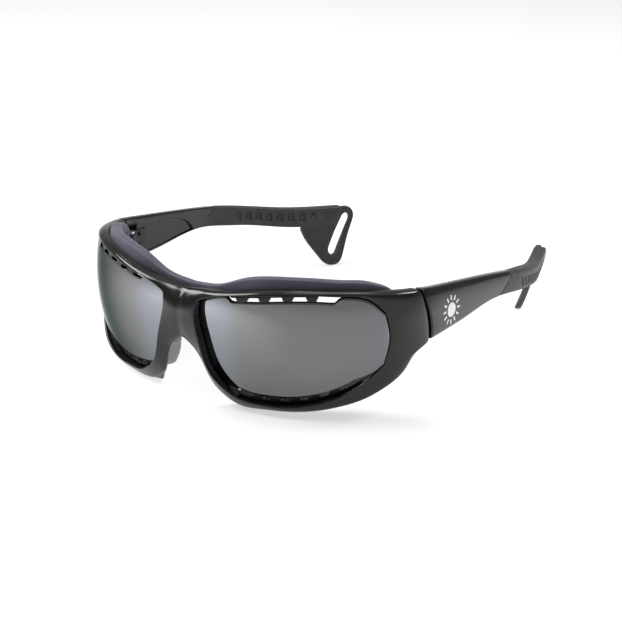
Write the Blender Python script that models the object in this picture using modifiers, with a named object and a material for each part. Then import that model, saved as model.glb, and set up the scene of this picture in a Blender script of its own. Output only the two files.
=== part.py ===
"""Glacier glasses: a wrapped front with two recessed lenses, a face gasket, rubber vent strips,
nose pads, two folding temples on pinned hinges, and rubber tips with a slotted strap flare.

The glasses are drawn unrolled and then bent. A place on them is (u, w, z): u runs along the plan
curve from the middle of the bridge, w stands out from it and z is the height above the table.
Lengths are in millimetres here, and new_object() turns them into metres.
+X is the wearer's left, +Y runs from the front to the temple tips, +Z is up.
"""

import math

import bmesh
import bpy
import numpy as np
from mathutils import Vector

MM = 0.001
COLLECTION = "glacier_glasses"

# Plan curve: the radii of the bridge, the lenses, the outer corners and the ear bends
FRONT_Y = -85.2
BRIDGE_RADIUS = 240.0
LENS_RADIUS = 70.3
CORNER_RADIUS = 42.0
EAR_RADIUS = 115.0
PLAN_STEP = 0.1
PLAN_LENGTH = 240.0

# Every piece is also crowned from top to bottom
CROWN_RADIUS = 70.4
CROWN_HEIGHT = 29.3

CLEARANCE = 0.35
LENS_THICKNESS = 1.8
LENS_RECESS = 2.4
LENS_OUTER_U = 66.0
LEDGE = 1.4
RIM_SOLE = 2.7

# Vent openings: the lens stops short of the frame over these lengths of u
UPPER_VENT = (17.5, 59.0)
UPPER_VENT_GAP = 2.2
LOWER_VENT = (15.5, 72.5)
LOWER_VENT_GAP = 2.9
UPPER_TEETH = 4
UPPER_TOOTH_PITCH = 8.0
LOWER_RIBS = 5
LOWER_RIB_PITCH = 7.0
FIRST_TOOTH_U = 25.0
FIRST_RIB_U = 29.0
TOOTH_WIDTH = 2.8
RIB_WIDTH = 3.0
UPPER_STRIP = (21.0, 53.0)
LOWER_STRIP = (21.5, 67.0)

# Temples
SPLIT_TOP_U = 89.0
SPLIT_BOTTOM_U = 93.0
ARM_THICKNESS = 4.4
TIP_THICKNESS = 5.0
JOINT_TOP_U = 147.5
JOINT_BOTTOM_U = 137.5
GRIP_COUNT = 9
GRIP_PITCH = 5.75
GRIP_START_U = 160.5

# Hinges. A leaf's plate runs between its first two u, and its knuckle tab reaches the third.
HINGE_Y = FRONT_Y + 44.8
HINGE_X = 63.5
KNUCKLE_RADIUS = 2.0
KNUCKLE_HEIGHT = 2.6
KNUCKLE_GAP = 0.3
PIN_RADIUS = 0.8
SCREW_RADIUS = 1.0
LEAF_DEPTH = 4.9
HINGE_Z = 33.0
LEAF_THICKNESS = 1.0
FRONT_LEAF_U = (83.6, 87.2, 91.2)
TEMPLE_LEAF_U = (94.4, 101.5, 91.6)
FRONT_SCREW_U = 85.4
TEMPLE_SCREW_U = 98.2
SCREW_RISE = 2.3

BODY_GAP = 0.15
CORE_SPAN = (133.0, 165.0)
CORE_HALF_HEIGHT = 1.3

COLOURS = {
    "gloss_black": ((0.012, 0.012, 0.013, 1.0), 0.08, 0.0),
    "mirror_grey": ((0.33, 0.34, 0.36, 1.0), 0.05, 1.0),
    "plum_foam": ((0.062, 0.056, 0.078, 1.0), 0.75, 0.0),
    "black_rubber": ((0.020, 0.020, 0.021, 1.0), 0.55, 0.0),
    "grey_rubber": ((0.16, 0.16, 0.17, 1.0), 0.60, 0.0),
    "black_steel": ((0.030, 0.030, 0.032, 1.0), 0.35, 1.0),
    "steel": ((0.55, 0.55, 0.56, 1.0), 0.30, 1.0),
}


def smooth(t):
    t = np.clip(t, 0.0, 1.0)
    return t * t * (3.0 - 2.0 * t)


def plan_curve():
    """The plan curve's turned angle, x and y at each step of u. Each bend fades in over a few mm."""
    u = np.arange(0.0, PLAN_LENGTH, PLAN_STEP)
    changes = (
        (8.0, 16.5, 1 / LENS_RADIUS - 1 / BRIDGE_RADIUS),
        (62.0, 70.0, 1 / CORNER_RADIUS - 1 / LENS_RADIUS),
        (93.0, 101.0, -1 / CORNER_RADIUS),
        (134.0, 146.0, 1 / EAR_RADIUS),
        (179.0, 191.0, -1 / EAR_RADIUS),
    )
    curvature = 1 / BRIDGE_RADIUS + sum(
        change * smooth((u - start) / (end - start)) for start, end, change in changes
    )

    def running_sum(values):
        steps = (values[1:] + values[:-1]) / 2 * PLAN_STEP
        return np.concatenate([[0.0], np.cumsum(steps)])

    angle = running_sum(curvature)
    return u, angle, running_sum(np.cos(angle)), running_sum(np.sin(angle))


PLAN_U, PLAN_ANGLE, PLAN_X, PLAN_Y = plan_curve()


def bend(points):
    """Bends unrolled points (u, w, z) onto the plan curve, as x, y and z."""
    u, w, z = np.moveaxis(np.asarray(points, float), -1, 0)
    along = np.abs(u)
    angle = np.interp(along, PLAN_U, PLAN_ANGLE)
    out = w - (z - CROWN_HEIGHT) ** 2 / (2 * CROWN_RADIUS)
    x = np.interp(along, PLAN_U, PLAN_X) + np.sin(angle) * out
    y = np.interp(along, PLAN_U, PLAN_Y) - np.cos(angle) * out
    return np.stack([np.where(u < 0, -x, x), FRONT_Y + y, z], axis=-1)


def hermite(knots, values, places):
    """A smooth curve through the values at the knots, read off at the places."""
    knots, values = np.asarray(knots, float), np.asarray(values, float)
    slopes = np.gradient(values, knots, axis=0)
    i = np.clip(np.searchsorted(knots, places, side="right") - 1, 0, len(knots) - 2)
    span = (knots[i + 1] - knots[i])[:, None]
    t = (places - knots[i])[:, None] / span
    rise, fall = t * t * (3.0 - 2.0 * t), t * (1.0 - t)
    bow = slopes[i] * (1.0 - t) - slopes[i + 1] * t
    return values[i] * (1.0 - rise) + values[i + 1] * rise + bow * fall * span


def evenly(path, count, closed=False):
    """Points spread evenly along a fine path, by their first two coordinates."""
    if closed:
        path = np.concatenate([path, path[:1]])
    steps = np.linalg.norm(np.diff(path[:, :2], axis=0), axis=1)
    length = np.concatenate([[0.0], np.cumsum(steps)])
    places = np.linspace(0.0, length[-1], count + closed)[:count]
    return np.stack([np.interp(places, length, column) for column in path.T], axis=-1)


def curve(points, count):
    """Evenly spread points on a smooth curve through the given ones."""
    points = np.asarray(points, float)
    steps = np.linalg.norm(np.diff(points[:, :2], axis=0), axis=1)
    knots = np.concatenate([[0.0], np.cumsum(steps)])
    return evenly(hermite(knots, points, np.linspace(0.0, knots[-1], 600)), count)


def rounded_polygon(corners, count):
    """Evenly spread points on a closed clockwise polygon of (u, z, radius) corners."""
    path = []
    for i, (u, z, radius) in enumerate(corners):
        corner = np.array([u, z])
        before = np.array(corners[i - 1][:2]) - corner
        after = np.array(corners[(i + 1) % len(corners)][:2]) - corner
        before /= np.linalg.norm(before)
        after /= np.linalg.norm(after)
        half = math.acos(float(np.clip(before @ after, -1.0, 1.0))) / 2
        middle = (before + after) / np.linalg.norm(before + after)
        centre = corner + middle * radius / math.sin(half)
        sideways = (after - before) / np.linalg.norm(after - before)
        for turn in np.linspace(half - math.pi / 2, math.pi / 2 - half, 24):
            path.append(centre + radius * (sideways * math.sin(turn) - middle * math.cos(turn)))
    return evenly(np.array(path), count, closed=True)


def outward(outline):
    """Unit normals of a closed (u, z) outline that runs clockwise, pointing out of it."""
    step = np.roll(outline, -1, axis=0) - np.roll(outline, 1, axis=0)
    normal = np.stack([-step[:, 1], step[:, 0]], axis=-1)
    return normal / np.linalg.norm(normal, axis=1, keepdims=True)


# ---------------------------------------------------------------- objects


def clear_scene():
    for obj in list(bpy.data.objects):
        bpy.data.objects.remove(obj, do_unlink=True)
    parts = bpy.data.collections.new(COLLECTION)
    cutters = bpy.data.collections.new("cutters")
    bpy.context.scene.collection.children.link(parts)
    bpy.context.scene.collection.children.link(cutters)
    return parts, cutters


PARTS, CUTTERS = clear_scene()


def material(name):
    found = bpy.data.materials.get(name)
    if found:
        return found
    colour, roughness, metallic = COLOURS[name]
    made = bpy.data.materials.new(name)
    made.use_nodes = True
    shader = made.node_tree.nodes["Principled BSDF"]
    shader.inputs["Base Color"].default_value = colour
    shader.inputs["Roughness"].default_value = roughness
    shader.inputs["Metallic"].default_value = metallic
    made.diffuse_color = colour
    return made


def new_object(name, mesh_source, look=None, parent=None):
    """Makes an object from a bmesh in millimetres. With no look it is a cutter."""
    mesh = bpy.data.meshes.new(name)
    bmesh.ops.scale(mesh_source, vec=(MM, MM, MM), verts=mesh_source.verts)
    bmesh.ops.recalc_face_normals(mesh_source, faces=mesh_source.faces)
    mesh_source.to_mesh(mesh)
    mesh_source.free()
    obj = bpy.data.objects.new(name, mesh)
    if look is None:
        CUTTERS.objects.link(obj)
        obj.hide_render = True
        obj.display_type = "WIRE"
    else:
        PARTS.objects.link(obj)
        mesh.materials.append(material(look))
        mesh.shade_smooth()
        mesh.set_sharp_from_angle(angle=math.radians(35))
    if parent:
        obj.parent = parent
        obj.matrix_parent_inverse = parent.matrix_world.inverted()
    return obj


def boolean(obj, tool, operation="DIFFERENCE"):
    modifier = obj.modifiers.new(tool.name, "BOOLEAN")
    modifier.object = tool
    modifier.operation = operation
    modifier.solver = "EXACT"


def add_cap(made, row):
    """Closes a section with a ladder of faces between its first half and its second half."""
    last = len(row) - 1
    for i in range(len(row) // 2 - 1):
        made.faces.new((row[i], row[i + 1], row[last - i - 1], row[last - i]))


def loft(sections, ring=False):
    """A skin over closed sections of (u, w, z) points. A ring joins its last section to its first."""
    made = bmesh.new()
    rows = [[made.verts.new(point) for point in section] for section in bend(sections)]
    pairs = list(zip(rows, rows[1:]))
    if ring:
        pairs.append((rows[-1], rows[0]))
    else:
        add_cap(made, rows[0])
        add_cap(made, rows[-1])
    for row, other in pairs:
        for i in range(len(row)):
            j = (i + 1) % len(row)
            made.faces.new((row[i], other[i], other[j], row[j]))
    return made


def mirrored(name, side):
    return f"{name}_left" if side > 0 else f"{name}_right"


def flipped(sections, side):
    """The same sections on the chosen side of the face."""
    return np.asarray(sections, float) * (side, 1.0, 1.0)


def add_cylinder(made, centre, radius, height, segments=16):
    barrel = bmesh.ops.create_cone(
        made, cap_ends=True, segments=segments, radius1=radius, radius2=radius, depth=height
    )["verts"]
    bmesh.ops.translate(made, vec=centre, verts=barrel)


# ---------------------------------------------------------------- front


def split_u(share):
    """u of the split between front and temple, from its bottom end (share 0) to its top end (1)."""
    return SPLIT_BOTTOM_U + (SPLIT_TOP_U - SPLIT_BOTTOM_U) * share**1.5


# The opening of the frame and its outer outline, in four runs round the left lens as (u, z)
TOP_OPENING = ((7.5, 37.5), (11.0, 39.0), (30.0, 42.5), (54.0, 44.0), (69.0, 42.0), (74.0, 37.5))
TOP_OUTLINE = ((0.0, 40.0), (16.0, 42.0), (36.0, 45.0), (58.0, 45.5), (89.0, 43.0))
SIDE_OPENING = ((74.0, 37.5), (75.5, 29.0), (74.0, 20.0))
SIDE_OUTLINE = tuple((split_u(share), 24.5 + 18.5 * share) for share in (1.0, 0.5, 0.0))
LOW_OPENING = ((74.0, 20.0), (66.0, 13.0), (52.0, 6.5), (35.0, 4.0), (21.0, 5.5), (14.0, 11.0),
               (8.0, 27.5))
LOW_OUTLINE = ((93.0, 24.5), (86.5, 21.5), (82.5, 15.5), (72.0, 9.0), (56.0, 4.0), (35.0, 1.5),
               (19.0, 1.5), (13.5, 5.0), (5.0, 19.5), (0.0, 23.0))
BRIDGE_OPENING = ((8.0, 27.5), (7.0, 34.0), (7.5, 37.5))
BRIDGE_OUTLINE = ((0.0, 23.0), (0.0, 40.0))

# How far the front stands out at the opening and at the outline, and how deep it is, at the same
# evenly spaced places along each run.
TOP_RELIEF = ((0.4, 0.2, 5.6), (0.7, 0.3, 3.2), (0.6, 0.3, 2.8), (0.0, 0.0, 4.4))
SIDE_RELIEF = ((0.0, 0.0, 4.4), (-0.1, 0.0, 4.4), (-0.2, 0.0, 4.4), (-0.3, -0.1, 4.4))
LOW_RELIEF = ((-0.3, -0.1, 4.4), (0.6, 0.0, 4.4), (2.0, 1.4, 4.4), (2.0, 1.6, 4.4),
              (1.2, 0.2, 4.2), (1.3, -0.8, 2.6), (0.9, -1.0, 2.8))
BRIDGE_RELIEF = ((0.9, -1.0, 2.8), (0.7, 0.5, 5.6), (0.5, 0.8, 5.6), (0.4, 0.2, 5.6))
RUNS = (
    (TOP_OPENING, TOP_OUTLINE, TOP_RELIEF, 26),
    (SIDE_OPENING, SIDE_OUTLINE, SIDE_RELIEF, 6),
    (LOW_OPENING, LOW_OUTLINE, LOW_RELIEF, 34),
    (BRIDGE_OPENING, BRIDGE_OUTLINE, BRIDGE_RELIEF, 5),
)


def frame_stations():
    """Opening, outline and relief at each station round the lens, from the bridge's top outwards."""
    opening, outline, relief, on_bridge = [], [], [], []
    for run, (inner, outer, heights, count) in enumerate(RUNS):
        opening.append(curve(inner, count)[:-1])
        outline.append(curve(outer, count)[:-1])
        places = np.linspace(0.0, len(heights) - 1, count)
        relief.append(hermite(range(len(heights)), heights, places)[:-1])
        inside = np.arange(count - 1) > 0
        on_bridge.append(inside & (run == len(RUNS) - 1))
    return [np.concatenate(part) for part in (opening, outline, relief, on_bridge)]


OPENING, OUTLINE, RELIEF, ON_BRIDGE = frame_stations()
OPENING_NORMAL = outward(OPENING)


def fade(u, span, width=2.5):
    """1 between the ends of the span and 0 outside it."""
    return smooth((u - span[0]) / width) * smooth((span[1] - u) / width)


def vent_gap():
    """How far the lens stops short of the opening at each station."""
    above = OPENING[:, 1] > CROWN_HEIGHT
    upper = fade(OPENING[:, 0], UPPER_VENT) * above
    lower = fade(OPENING[:, 0], LOWER_VENT, 8.0) * ~above
    return (
        CLEARANCE
        + (UPPER_VENT_GAP - CLEARANCE) * upper
        + (LOWER_VENT_GAP - CLEARANCE) * lower
    )


GAP = vent_gap()


def lens_level(u):
    """The lens's front face: sunk at the nose and flush at the outer corner."""
    inward = np.clip((LENS_OUTER_U - np.abs(u)) / LENS_OUTER_U, 0.0, 1.0)
    return -LENS_RECESS * inward**2 * 1.3


def outline_inward():
    """Directions from the outer outline into the frame. On the bridge they stay on the middle plane."""
    into = OPENING - OUTLINE
    into = into / np.linalg.norm(into, axis=1, keepdims=True)
    at_middle = OUTLINE[:, 0] < 1e-6
    into[at_middle] = (OPENING[at_middle] - OUTLINE[at_middle]) * (0.0, 1.0)
    into[at_middle] /= np.maximum(np.abs(into[at_middle, 1:]), 1e-6)
    into[ON_BRIDGE] = 0.0
    return into


# How far down from the top edge the front rounds back, and how far back, as (u, down, back)
BROW_ROUNDING = ((0.0, 6.0, 2.6), (9.0, 5.0, 2.4), (15.0, 3.2, 1.9), (22.0, 1.9, 1.0), (32.0, 1.2, 0.5),
                 (60.0, 1.2, 0.5), (75.0, 2.2, 0.9), (95.0, 2.2, 0.9))


def brow_drop(place):
    """How far the front is rounded back at (u, z), most at the top edge."""
    u, z = abs(place[0]), place[1]
    if z < CROWN_HEIGHT:
        return 0.0
    table = np.array(BROW_ROUNDING)
    down = np.interp(u, table[:, 0], table[:, 1])
    back = np.interp(u, table[:, 0], table[:, 2])
    top = np.interp(u, *np.array(TOP_OUTLINE).T)
    share = min(1.0, max(0.0, 1.0 - (top - z) / down))
    edge = 1.0 - math.sqrt(1.0 - (0.98 * share) ** 2)
    on_bridge = float(smooth((14.0 - u) / 8.0))
    return back * (edge + (share**1.7 - edge) * on_bridge)


def frame_half():
    """The left half of the front: one closed section at each station, open on the middle plane."""
    into = outline_inward()
    ledge = LEDGE * smooth((1.2 - GAP) / 0.8)
    sections = []
    for a, b, (out_a, out_b, depth), n, m, lip in zip(
        OPENING, OUTLINE, RELIEF, OPENING_NORMAL, into, ledge
    ):
        rest = lens_level(a[0]) - LENS_THICKNESS - CLEARANCE
        sole = b - m * RIM_SOLE * smooth((5.0 - b[1]) / 4.0)
        sole = np.maximum(sole, (-math.inf, 0.0))
        back = -max(depth, -rest + 1.0 * (lip > 0.2))

        def between(f):
            return a + (b - a) * f

        section = (
            (a - n * lip, back),
            (a - n * lip, rest - 0.2),
            (a, rest + 0.1),
            (a, out_a - 0.7),
            (a + n * 0.25, out_a - 0.1),
            (between(0.25), out_a * 0.75 + out_b * 0.25 + 0.15),
            (between(0.5), out_a * 0.5 + out_b * 0.5 + 0.2),
            (between(0.75), out_a * 0.25 + out_b * 0.75 + 0.1),
            (b + m * 0.5, out_b - 0.25),
            (b, out_b - 1.0),
            (sole, -depth + 0.5),
            (sole + m * 0.4, -depth),
            (between(0.7), back * 0.3 - depth * 0.7),
            (between(0.35), back * 0.65 - depth * 0.35),
        )
        rounded = []
        for i, (place, w) in enumerate(section):
            if 3 <= i <= 9:
                w = max(w - brow_drop(place), 0.9 - depth)
            rounded.append((place[0], w, place[1]))
        sections.append(rounded)
    half = loft(sections, ring=True)
    on_middle = [f for f in half.faces if all(abs(v.co.x) < 1e-4 for v in f.verts)]
    bmesh.ops.delete(half, geom=on_middle, context="FACES")
    return half


def build_front_frame():
    frame = new_object("front_frame", frame_half(), "gloss_black")
    mirror = frame.modifiers.new("other_half", "MIRROR")
    mirror.use_axis = (True, False, False)
    mirror.merge_threshold = 0.00001
    return frame


def build_lens(side):
    """A shell cut to the opening, less the clearance and the vents, in rings round its middle."""
    edge = OPENING - OPENING_NORMAL * GAP[:, None]
    middle = np.array([42.0, 25.0])
    made = bmesh.new()
    faces = []
    for depth in (0.0, -LENS_THICKNESS):
        rows = []
        for share in (1.0, 0.72, 0.42):
            places = middle + (edge - middle) * share
            w = lens_level(places[:, 0]) + depth
            points = np.stack([places[:, 0] * side, w, places[:, 1]], axis=-1)
            rows.append([made.verts.new(point) for point in bend(points)])
        hub_w = lens_level(middle[0]) + depth
        hub = made.verts.new(bend((middle[0] * side, hub_w, middle[1])))
        faces.append(rows[0])
        for i in range(len(edge)):
            j = (i + 1) % len(edge)
            for row, inner in zip(rows, rows[1:]):
                made.faces.new((row[i], inner[i], inner[j], row[j]))
            made.faces.new((rows[-1][i], hub, rows[-1][j]))
    front, rear = faces
    for i in range(len(edge)):
        j = (i + 1) % len(edge)
        made.faces.new((front[i], front[j], rear[j], rear[i]))
    return new_object(mirrored("lens", side), made, "mirror_grey")


# The gasket's middle line as (u, z), its front and rear depth, and half its thickness
GASKET_LINE = ((0.0, 39.0, -6.2, -9.5, 1.9), (10.0, 40.0, -5.8, -9.0, 1.9), (26.0, 44.5, -3.7, -7.6, 2.4),
               (44.0, 45.5, -3.4, -7.4, 2.6), (58.0, 45.0, -3.4, -7.5, 2.6), (71.0, 44.0, -4.4, -8.6, 2.2),
               (80.0, 41.0, -5.0, -9.4, 1.6), (80.5, 27.0, -5.0, -10.0, 1.7), (74.0, 14.5, -5.0, -10.0, 1.8),
               (58.0, 7.5, -5.0, -10.0, 1.8), (40.0, 5.5, -5.2, -9.5, 1.8), (28.0, 6.0, -5.8, -9.0, 1.8))


def build_gasket():
    """One soft band behind the brow, the outer sides and the outer lower rims."""
    line = curve(GASKET_LINE, 37)
    line = np.concatenate([line[:0:-1] * (-1, 1, 1, 1, 1), line])
    step = np.gradient(line[:, :2], axis=0)
    normal = np.stack([-step[:, 1], step[:, 0]], axis=-1)
    normal /= np.linalg.norm(normal, axis=1, keepdims=True)
    corner = 0.3
    shape = ((1, corner), (1, 1 - corner), (1 - corner, 1), (corner - 1, 1), (-1, 1 - corner),
             (-1, corner), (corner - 1, 0), (1 - corner, 0))
    sections = []
    for (u, z, front, rear, half), n in zip(line, normal):
        section = []
        for across, along in shape:
            place = np.array([u, z]) + n * across * half
            section.append((place[0], front + (rear - front) * along, place[1]))
        sections.append(section)
    return new_object("face_gasket", loft(sections), "plum_foam")


def toothed_strip(base, tip, span, teeth, pitch, first, width, foot, w_front, w_rear):
    """Sections of a strip from base(u) to tip(u), full height on its teeth and foot high elsewhere."""
    sections = []
    stops = [(u, 0.0) for u in np.arange(span[0], first - width, pitch / 2)]
    for i in range(teeth):
        centre = first + pitch * i
        stops += [(centre - width / 2 - 0.6, 0.0), (centre - width / 2, 1.0)]
        stops += [(centre + width / 2, 1.0), (centre + width / 2 + 0.6, 0.0)]
    stops += [(u, 0.0) for u in np.arange(stops[-1][0] + pitch / 2, span[1], pitch / 2)]
    for u, full in stops:
        low, high = base(u), tip(u)
        edge = low + (high - low) * (foot + (1.0 - foot) * full)
        sections.append([(u, w_front, low), (u, w_front, edge), (u, w_rear, edge), (u, w_rear, low)])
    return sections


def opening_height(u, above):
    """The height of the opening's top or bottom edge at u."""
    chosen = (OPENING[:, 1] > CROWN_HEIGHT) == above
    order = np.argsort(OPENING[chosen, 0])
    return float(np.interp(u, OPENING[chosen, 0][order], OPENING[chosen, 1][order]))


def build_vents(side):
    gap = CLEARANCE
    upper = toothed_strip(
        lambda u: opening_height(u, True) - gap,
        lambda u: opening_height(u, True) - UPPER_VENT_GAP + gap,
        UPPER_STRIP, UPPER_TEETH, UPPER_TOOTH_PITCH, FIRST_TOOTH_U, TOOTH_WIDTH, 0.2, 0.2, -2.6,
    )
    lower = toothed_strip(
        lambda u: opening_height(u, False) + 2 * gap,
        lambda u: opening_height(u, False) + LOWER_VENT_GAP - gap,
        LOWER_STRIP, LOWER_RIBS, LOWER_RIB_PITCH, FIRST_RIB_U, RIB_WIDTH, 0.5, -1.2, -4.6,
    )
    new_object(mirrored("upper_vent", side), loft(flipped(upper, side)), "black_rubber")
    new_object(mirrored("lower_vent", side), loft(flipped(lower, side)), "black_rubber")


# Nose pad: the heights of its lower and upper ends, and its depth
NOSE_PAD_SPAN = (7.6, 19.6)
NOSE_PAD_REAR = 8.6


def build_nose_pad(side):
    """A rubber pad that fills the step behind the nose leg, thin at its ends."""
    low, high = NOSE_PAD_SPAN
    on_leg = (OUTLINE[:, 0] < 14.0) & (OUTLINE[:, 1] > low) & (OUTLINE[:, 1] < high) & ~ON_BRIDGE
    places = OUTLINE[on_leg]
    inward = outline_inward()[on_leg]
    depths = RELIEF[on_leg, 2] + CLEARANCE
    sections = []
    for i, (b, m, depth) in enumerate(zip(places, inward, depths)):
        swell = 0.5 + 0.5 * math.sin(math.pi * i / (len(places) - 1))
        rear = -5.6 - (NOSE_PAD_REAR - 5.6) * swell
        section = (
            (b - m * 0.2, -depth),
            (b - m * 0.5 * swell, -depth - 1.6),
            (b - m * 0.1, rear + 0.8),
            (b + m * 0.8, rear),
            (b + m * 1.7, rear),
            (b + m * 2.1, -5.4 - 0.6 * swell),
            (b + m * 1.6, -depth - 1.9),
            (b + m * 0.5, -depth - 0.5),
        )
        sections.append([(place[0], w, place[1]) for place, w in section])
    made = loft(flipped(sections, side))
    return new_object(mirrored("nose_pad", side), made, "grey_rubber")


# ---------------------------------------------------------------- temples

# Heights of the temple's top and bottom edges along u
TEMPLE_TOP = ((89.0, 43.0), (150.0, 34.5), (190.0, 27.0), (221.0, 24.0))
TEMPLE_BOTTOM = ((89.0, 24.5), (112.0, 26.0), (134.0, 28.0), (160.0, 24.5), (192.0, 18.5), (221.0, 16.5))


def edge_height(table, u):
    places = curve(table, 120)
    return np.interp(u, places[:, 0], places[:, 1])


def joint_u(share):
    """u of the slanted joint between the arm and its tip."""
    return JOINT_BOTTOM_U + (JOINT_TOP_U - JOINT_BOTTOM_U) * share


def temple_sections(start, end, count, thickness, chamfer):
    """Sections of a band between the temple's edges, from start(share) to end(share)."""
    sections = []
    for s in np.linspace(0.0, 1.0, count):
        section = []
        depth = thickness(s)
        inner = -depth
        for share, level in (
            (0.0, -chamfer),
            (0.05, 0.0),
            (0.45, 0.25),
            (0.84, 0.1),
            (1.0, -chamfer * 1.4),
            (1.0, inner + chamfer * 0.6),
            (0.93, inner),
            (0.5, inner),
            (0.07, inner),
            (0.0, inner + chamfer * 0.6),
        ):
            u = start(share) + (end(share) - start(share)) * s
            low, high = edge_height(TEMPLE_BOTTOM, u), edge_height(TEMPLE_TOP, u)
            section.append((u, level, low + (high - low) * share))
        sections.append(section)
    return sections


def build_core(side, parent, margin=0.0, name="temple_core"):
    """The flat steel core that runs from the arm's end into the tip."""
    sections = []
    for u in np.linspace(CORE_SPAN[0] - margin, CORE_SPAN[1] + margin, 8):
        middle = (edge_height(TEMPLE_TOP, u) + edge_height(TEMPLE_BOTTOM, u)) / 2
        half = CORE_HALF_HEIGHT + margin
        low, high = middle - half, middle + half
        front, rear = -1.5 + margin, -2.3 - margin
        sections.append([(u, front, low), (u, front, high), (u, rear, high), (u, rear, low)])
    look = None if margin else "steel"
    return new_object(mirrored(name, side), loft(flipped(sections, side)), look, parent)


def build_arm(side, parent, core_pocket):
    gap = BODY_GAP
    sections = temple_sections(
        lambda share: split_u(share) + CLEARANCE + gap,
        lambda share: joint_u(share) - gap,
        14,
        lambda s: ARM_THICKNESS - 0.4 * s,
        0.6,
    )
    arm = new_object(
        mirrored("temple_arm", side), loft(flipped(sections, side)), "gloss_black", parent
    )
    boolean(arm, core_pocket)
    return arm


# Flare: the corners of its outline as (u, z, radius) and the ends of its strap slot
FLARE_CORNERS = ((194.0, 24.3, 3.0), (225.0, 24.3, 4.0), (212.5, 0.0, 5.5), (205.0, 0.0, 5.5),
                 (192.0, 18.5, 2.5))
SLOT_TOP = (218.0, 19.0)
SLOT_BOTTOM = (209.5, 6.5)
SLOT_WIDTH = 4.8
FLARE_OUT = -2.2
FLARE_IN = -4.8


def slot_outline(end_count, side_count):
    """A closed clockwise outline of the strap slot: two round ends joined by straight sides."""
    top, bottom = np.array(SLOT_TOP), np.array(SLOT_BOTTOM)
    axis = (top - bottom) / np.linalg.norm(top - bottom)
    across = np.array([axis[1], -axis[0]])
    points = []
    for start, end, sign in ((top, bottom, 1), (bottom, top, -1)):
        for turn in np.linspace(0.0, math.pi, end_count):
            arm = axis * math.sin(turn) - across * math.cos(turn)
            points.append(start + sign * SLOT_WIDTH / 2 * arm)
        for share in np.linspace(0.0, 1.0, side_count + 2)[1:-1]:
            points.append(start + (end - start) * share + sign * SLOT_WIDTH / 2 * across)
    return np.array(points)


def build_flare(side):
    """The slotted flare: a ring of flat sections between the slot and the flare's outline."""
    inner = slot_outline(6, 4)
    centre = (np.array(SLOT_TOP) + SLOT_BOTTOM) / 2
    outer = rounded_polygon(FLARE_CORNERS, 240)
    facing = np.arctan2(*(outer - centre).T)
    sections = []
    for a in inner:
        turned = np.angle(np.exp(1j * (facing - math.atan2(*(a - centre)))))
        b = outer[np.argmin(np.abs(turned))]
        into = (a - b) / np.linalg.norm(a - b)
        section = (
            (a, FLARE_IN), (a, FLARE_OUT), ((a + b) / 2, FLARE_OUT), (b + into * 0.5, FLARE_OUT),
            (b, FLARE_OUT - 0.5), (b, FLARE_IN + 0.5), (b + into * 0.5, FLARE_IN),
            ((a + b) / 2, FLARE_IN),
        )
        sections.append([(place[0], w, place[1]) for place, w in section])
    return new_object(mirrored("flare_body", side), loft(flipped(sections, side), ring=True))


def build_grips(side):
    """Cutters for the row of shallow pockets on the tip's inner face."""
    made = bmesh.new()
    for i in range(GRIP_COUNT):
        u = GRIP_START_U + GRIP_PITCH * i
        low = float(edge_height(TEMPLE_BOTTOM, u)) + 2.6
        high = float(edge_height(TEMPLE_TOP, u)) - 2.4
        ends = []
        for place in (u - 1.3, u + 1.3):
            section = ((place, -4.3, low), (place, -4.3, high), (place, -8.0, high), (place, -8.0, low))
            ends.append([made.verts.new(point) for point in bend(flipped(section, side))])
        first, last = ends
        made.faces.new(first)
        made.faces.new(reversed(last))
        for j in range(4):
            k = (j + 1) % 4
            made.faces.new((first[j], last[j], last[k], first[k]))
    return new_object(mirrored("grip_cutter", side), made)


def build_tip(side, parent, core_pocket):
    gap = BODY_GAP
    sections = temple_sections(
        lambda share: joint_u(share) + gap,
        lambda share: 214.0 + 4.0 * share,
        16,
        lambda s: ARM_THICKNESS - 0.4 + (TIP_THICKNESS - ARM_THICKNESS + 0.4) * smooth(s * 4),
        0.8,
    )
    tip = new_object(
        mirrored("temple_tip", side), loft(flipped(sections, side)), "black_rubber", parent
    )
    boolean(tip, build_flare(side), "UNION")
    boolean(tip, core_pocket)
    boolean(tip, build_grips(side))
    return tip


# ---------------------------------------------------------------- hinges


def leaf_plate(side, first_u, last_u, w, low, high):
    """A thin plate that follows the plan curve."""
    sections = []
    for u in np.linspace(first_u, last_u, 4):
        inner = w - LEAF_THICKNESS
        sections.append([(u, w, low), (u, w, high), (u, inner, high), (u, inner, low)])
    return loft(flipped(sections, side))


def knuckle(side, z):
    barrel = bmesh.new()
    add_cylinder(barrel, (HINGE_X * side, HINGE_Y, z), KNUCKLE_RADIUS, KNUCKLE_HEIGHT)
    return barrel


def build_leaf(side, name, plate, tabs, parent, bore):
    """A hinge leaf: its plate, and a tab and a knuckle at each height in tabs."""
    first_u, last_u, tab_u, w = plate
    half = KNUCKLE_HEIGHT / 2
    reach = KNUCKLE_HEIGHT * 1.5 + KNUCKLE_GAP
    body = leaf_plate(side, first_u, last_u, w, HINGE_Z - reach, HINGE_Z + reach)
    leaf = new_object(mirrored(name, side), body, "black_steel", parent)
    for i, z in enumerate(tabs):
        start, end = sorted((last_u if tab_u > last_u else first_u, tab_u))
        tab = leaf_plate(side, start - 0.3, end + 0.3, w, z - half, z + half)
        boolean(leaf, new_object(mirrored(f"{name}_tab_{i}", side), tab), "UNION")
        barrel = new_object(mirrored(f"{name}_knuckle_{i}", side), knuckle(side, z))
        boolean(leaf, barrel, "UNION")
    boolean(leaf, bore)


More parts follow.
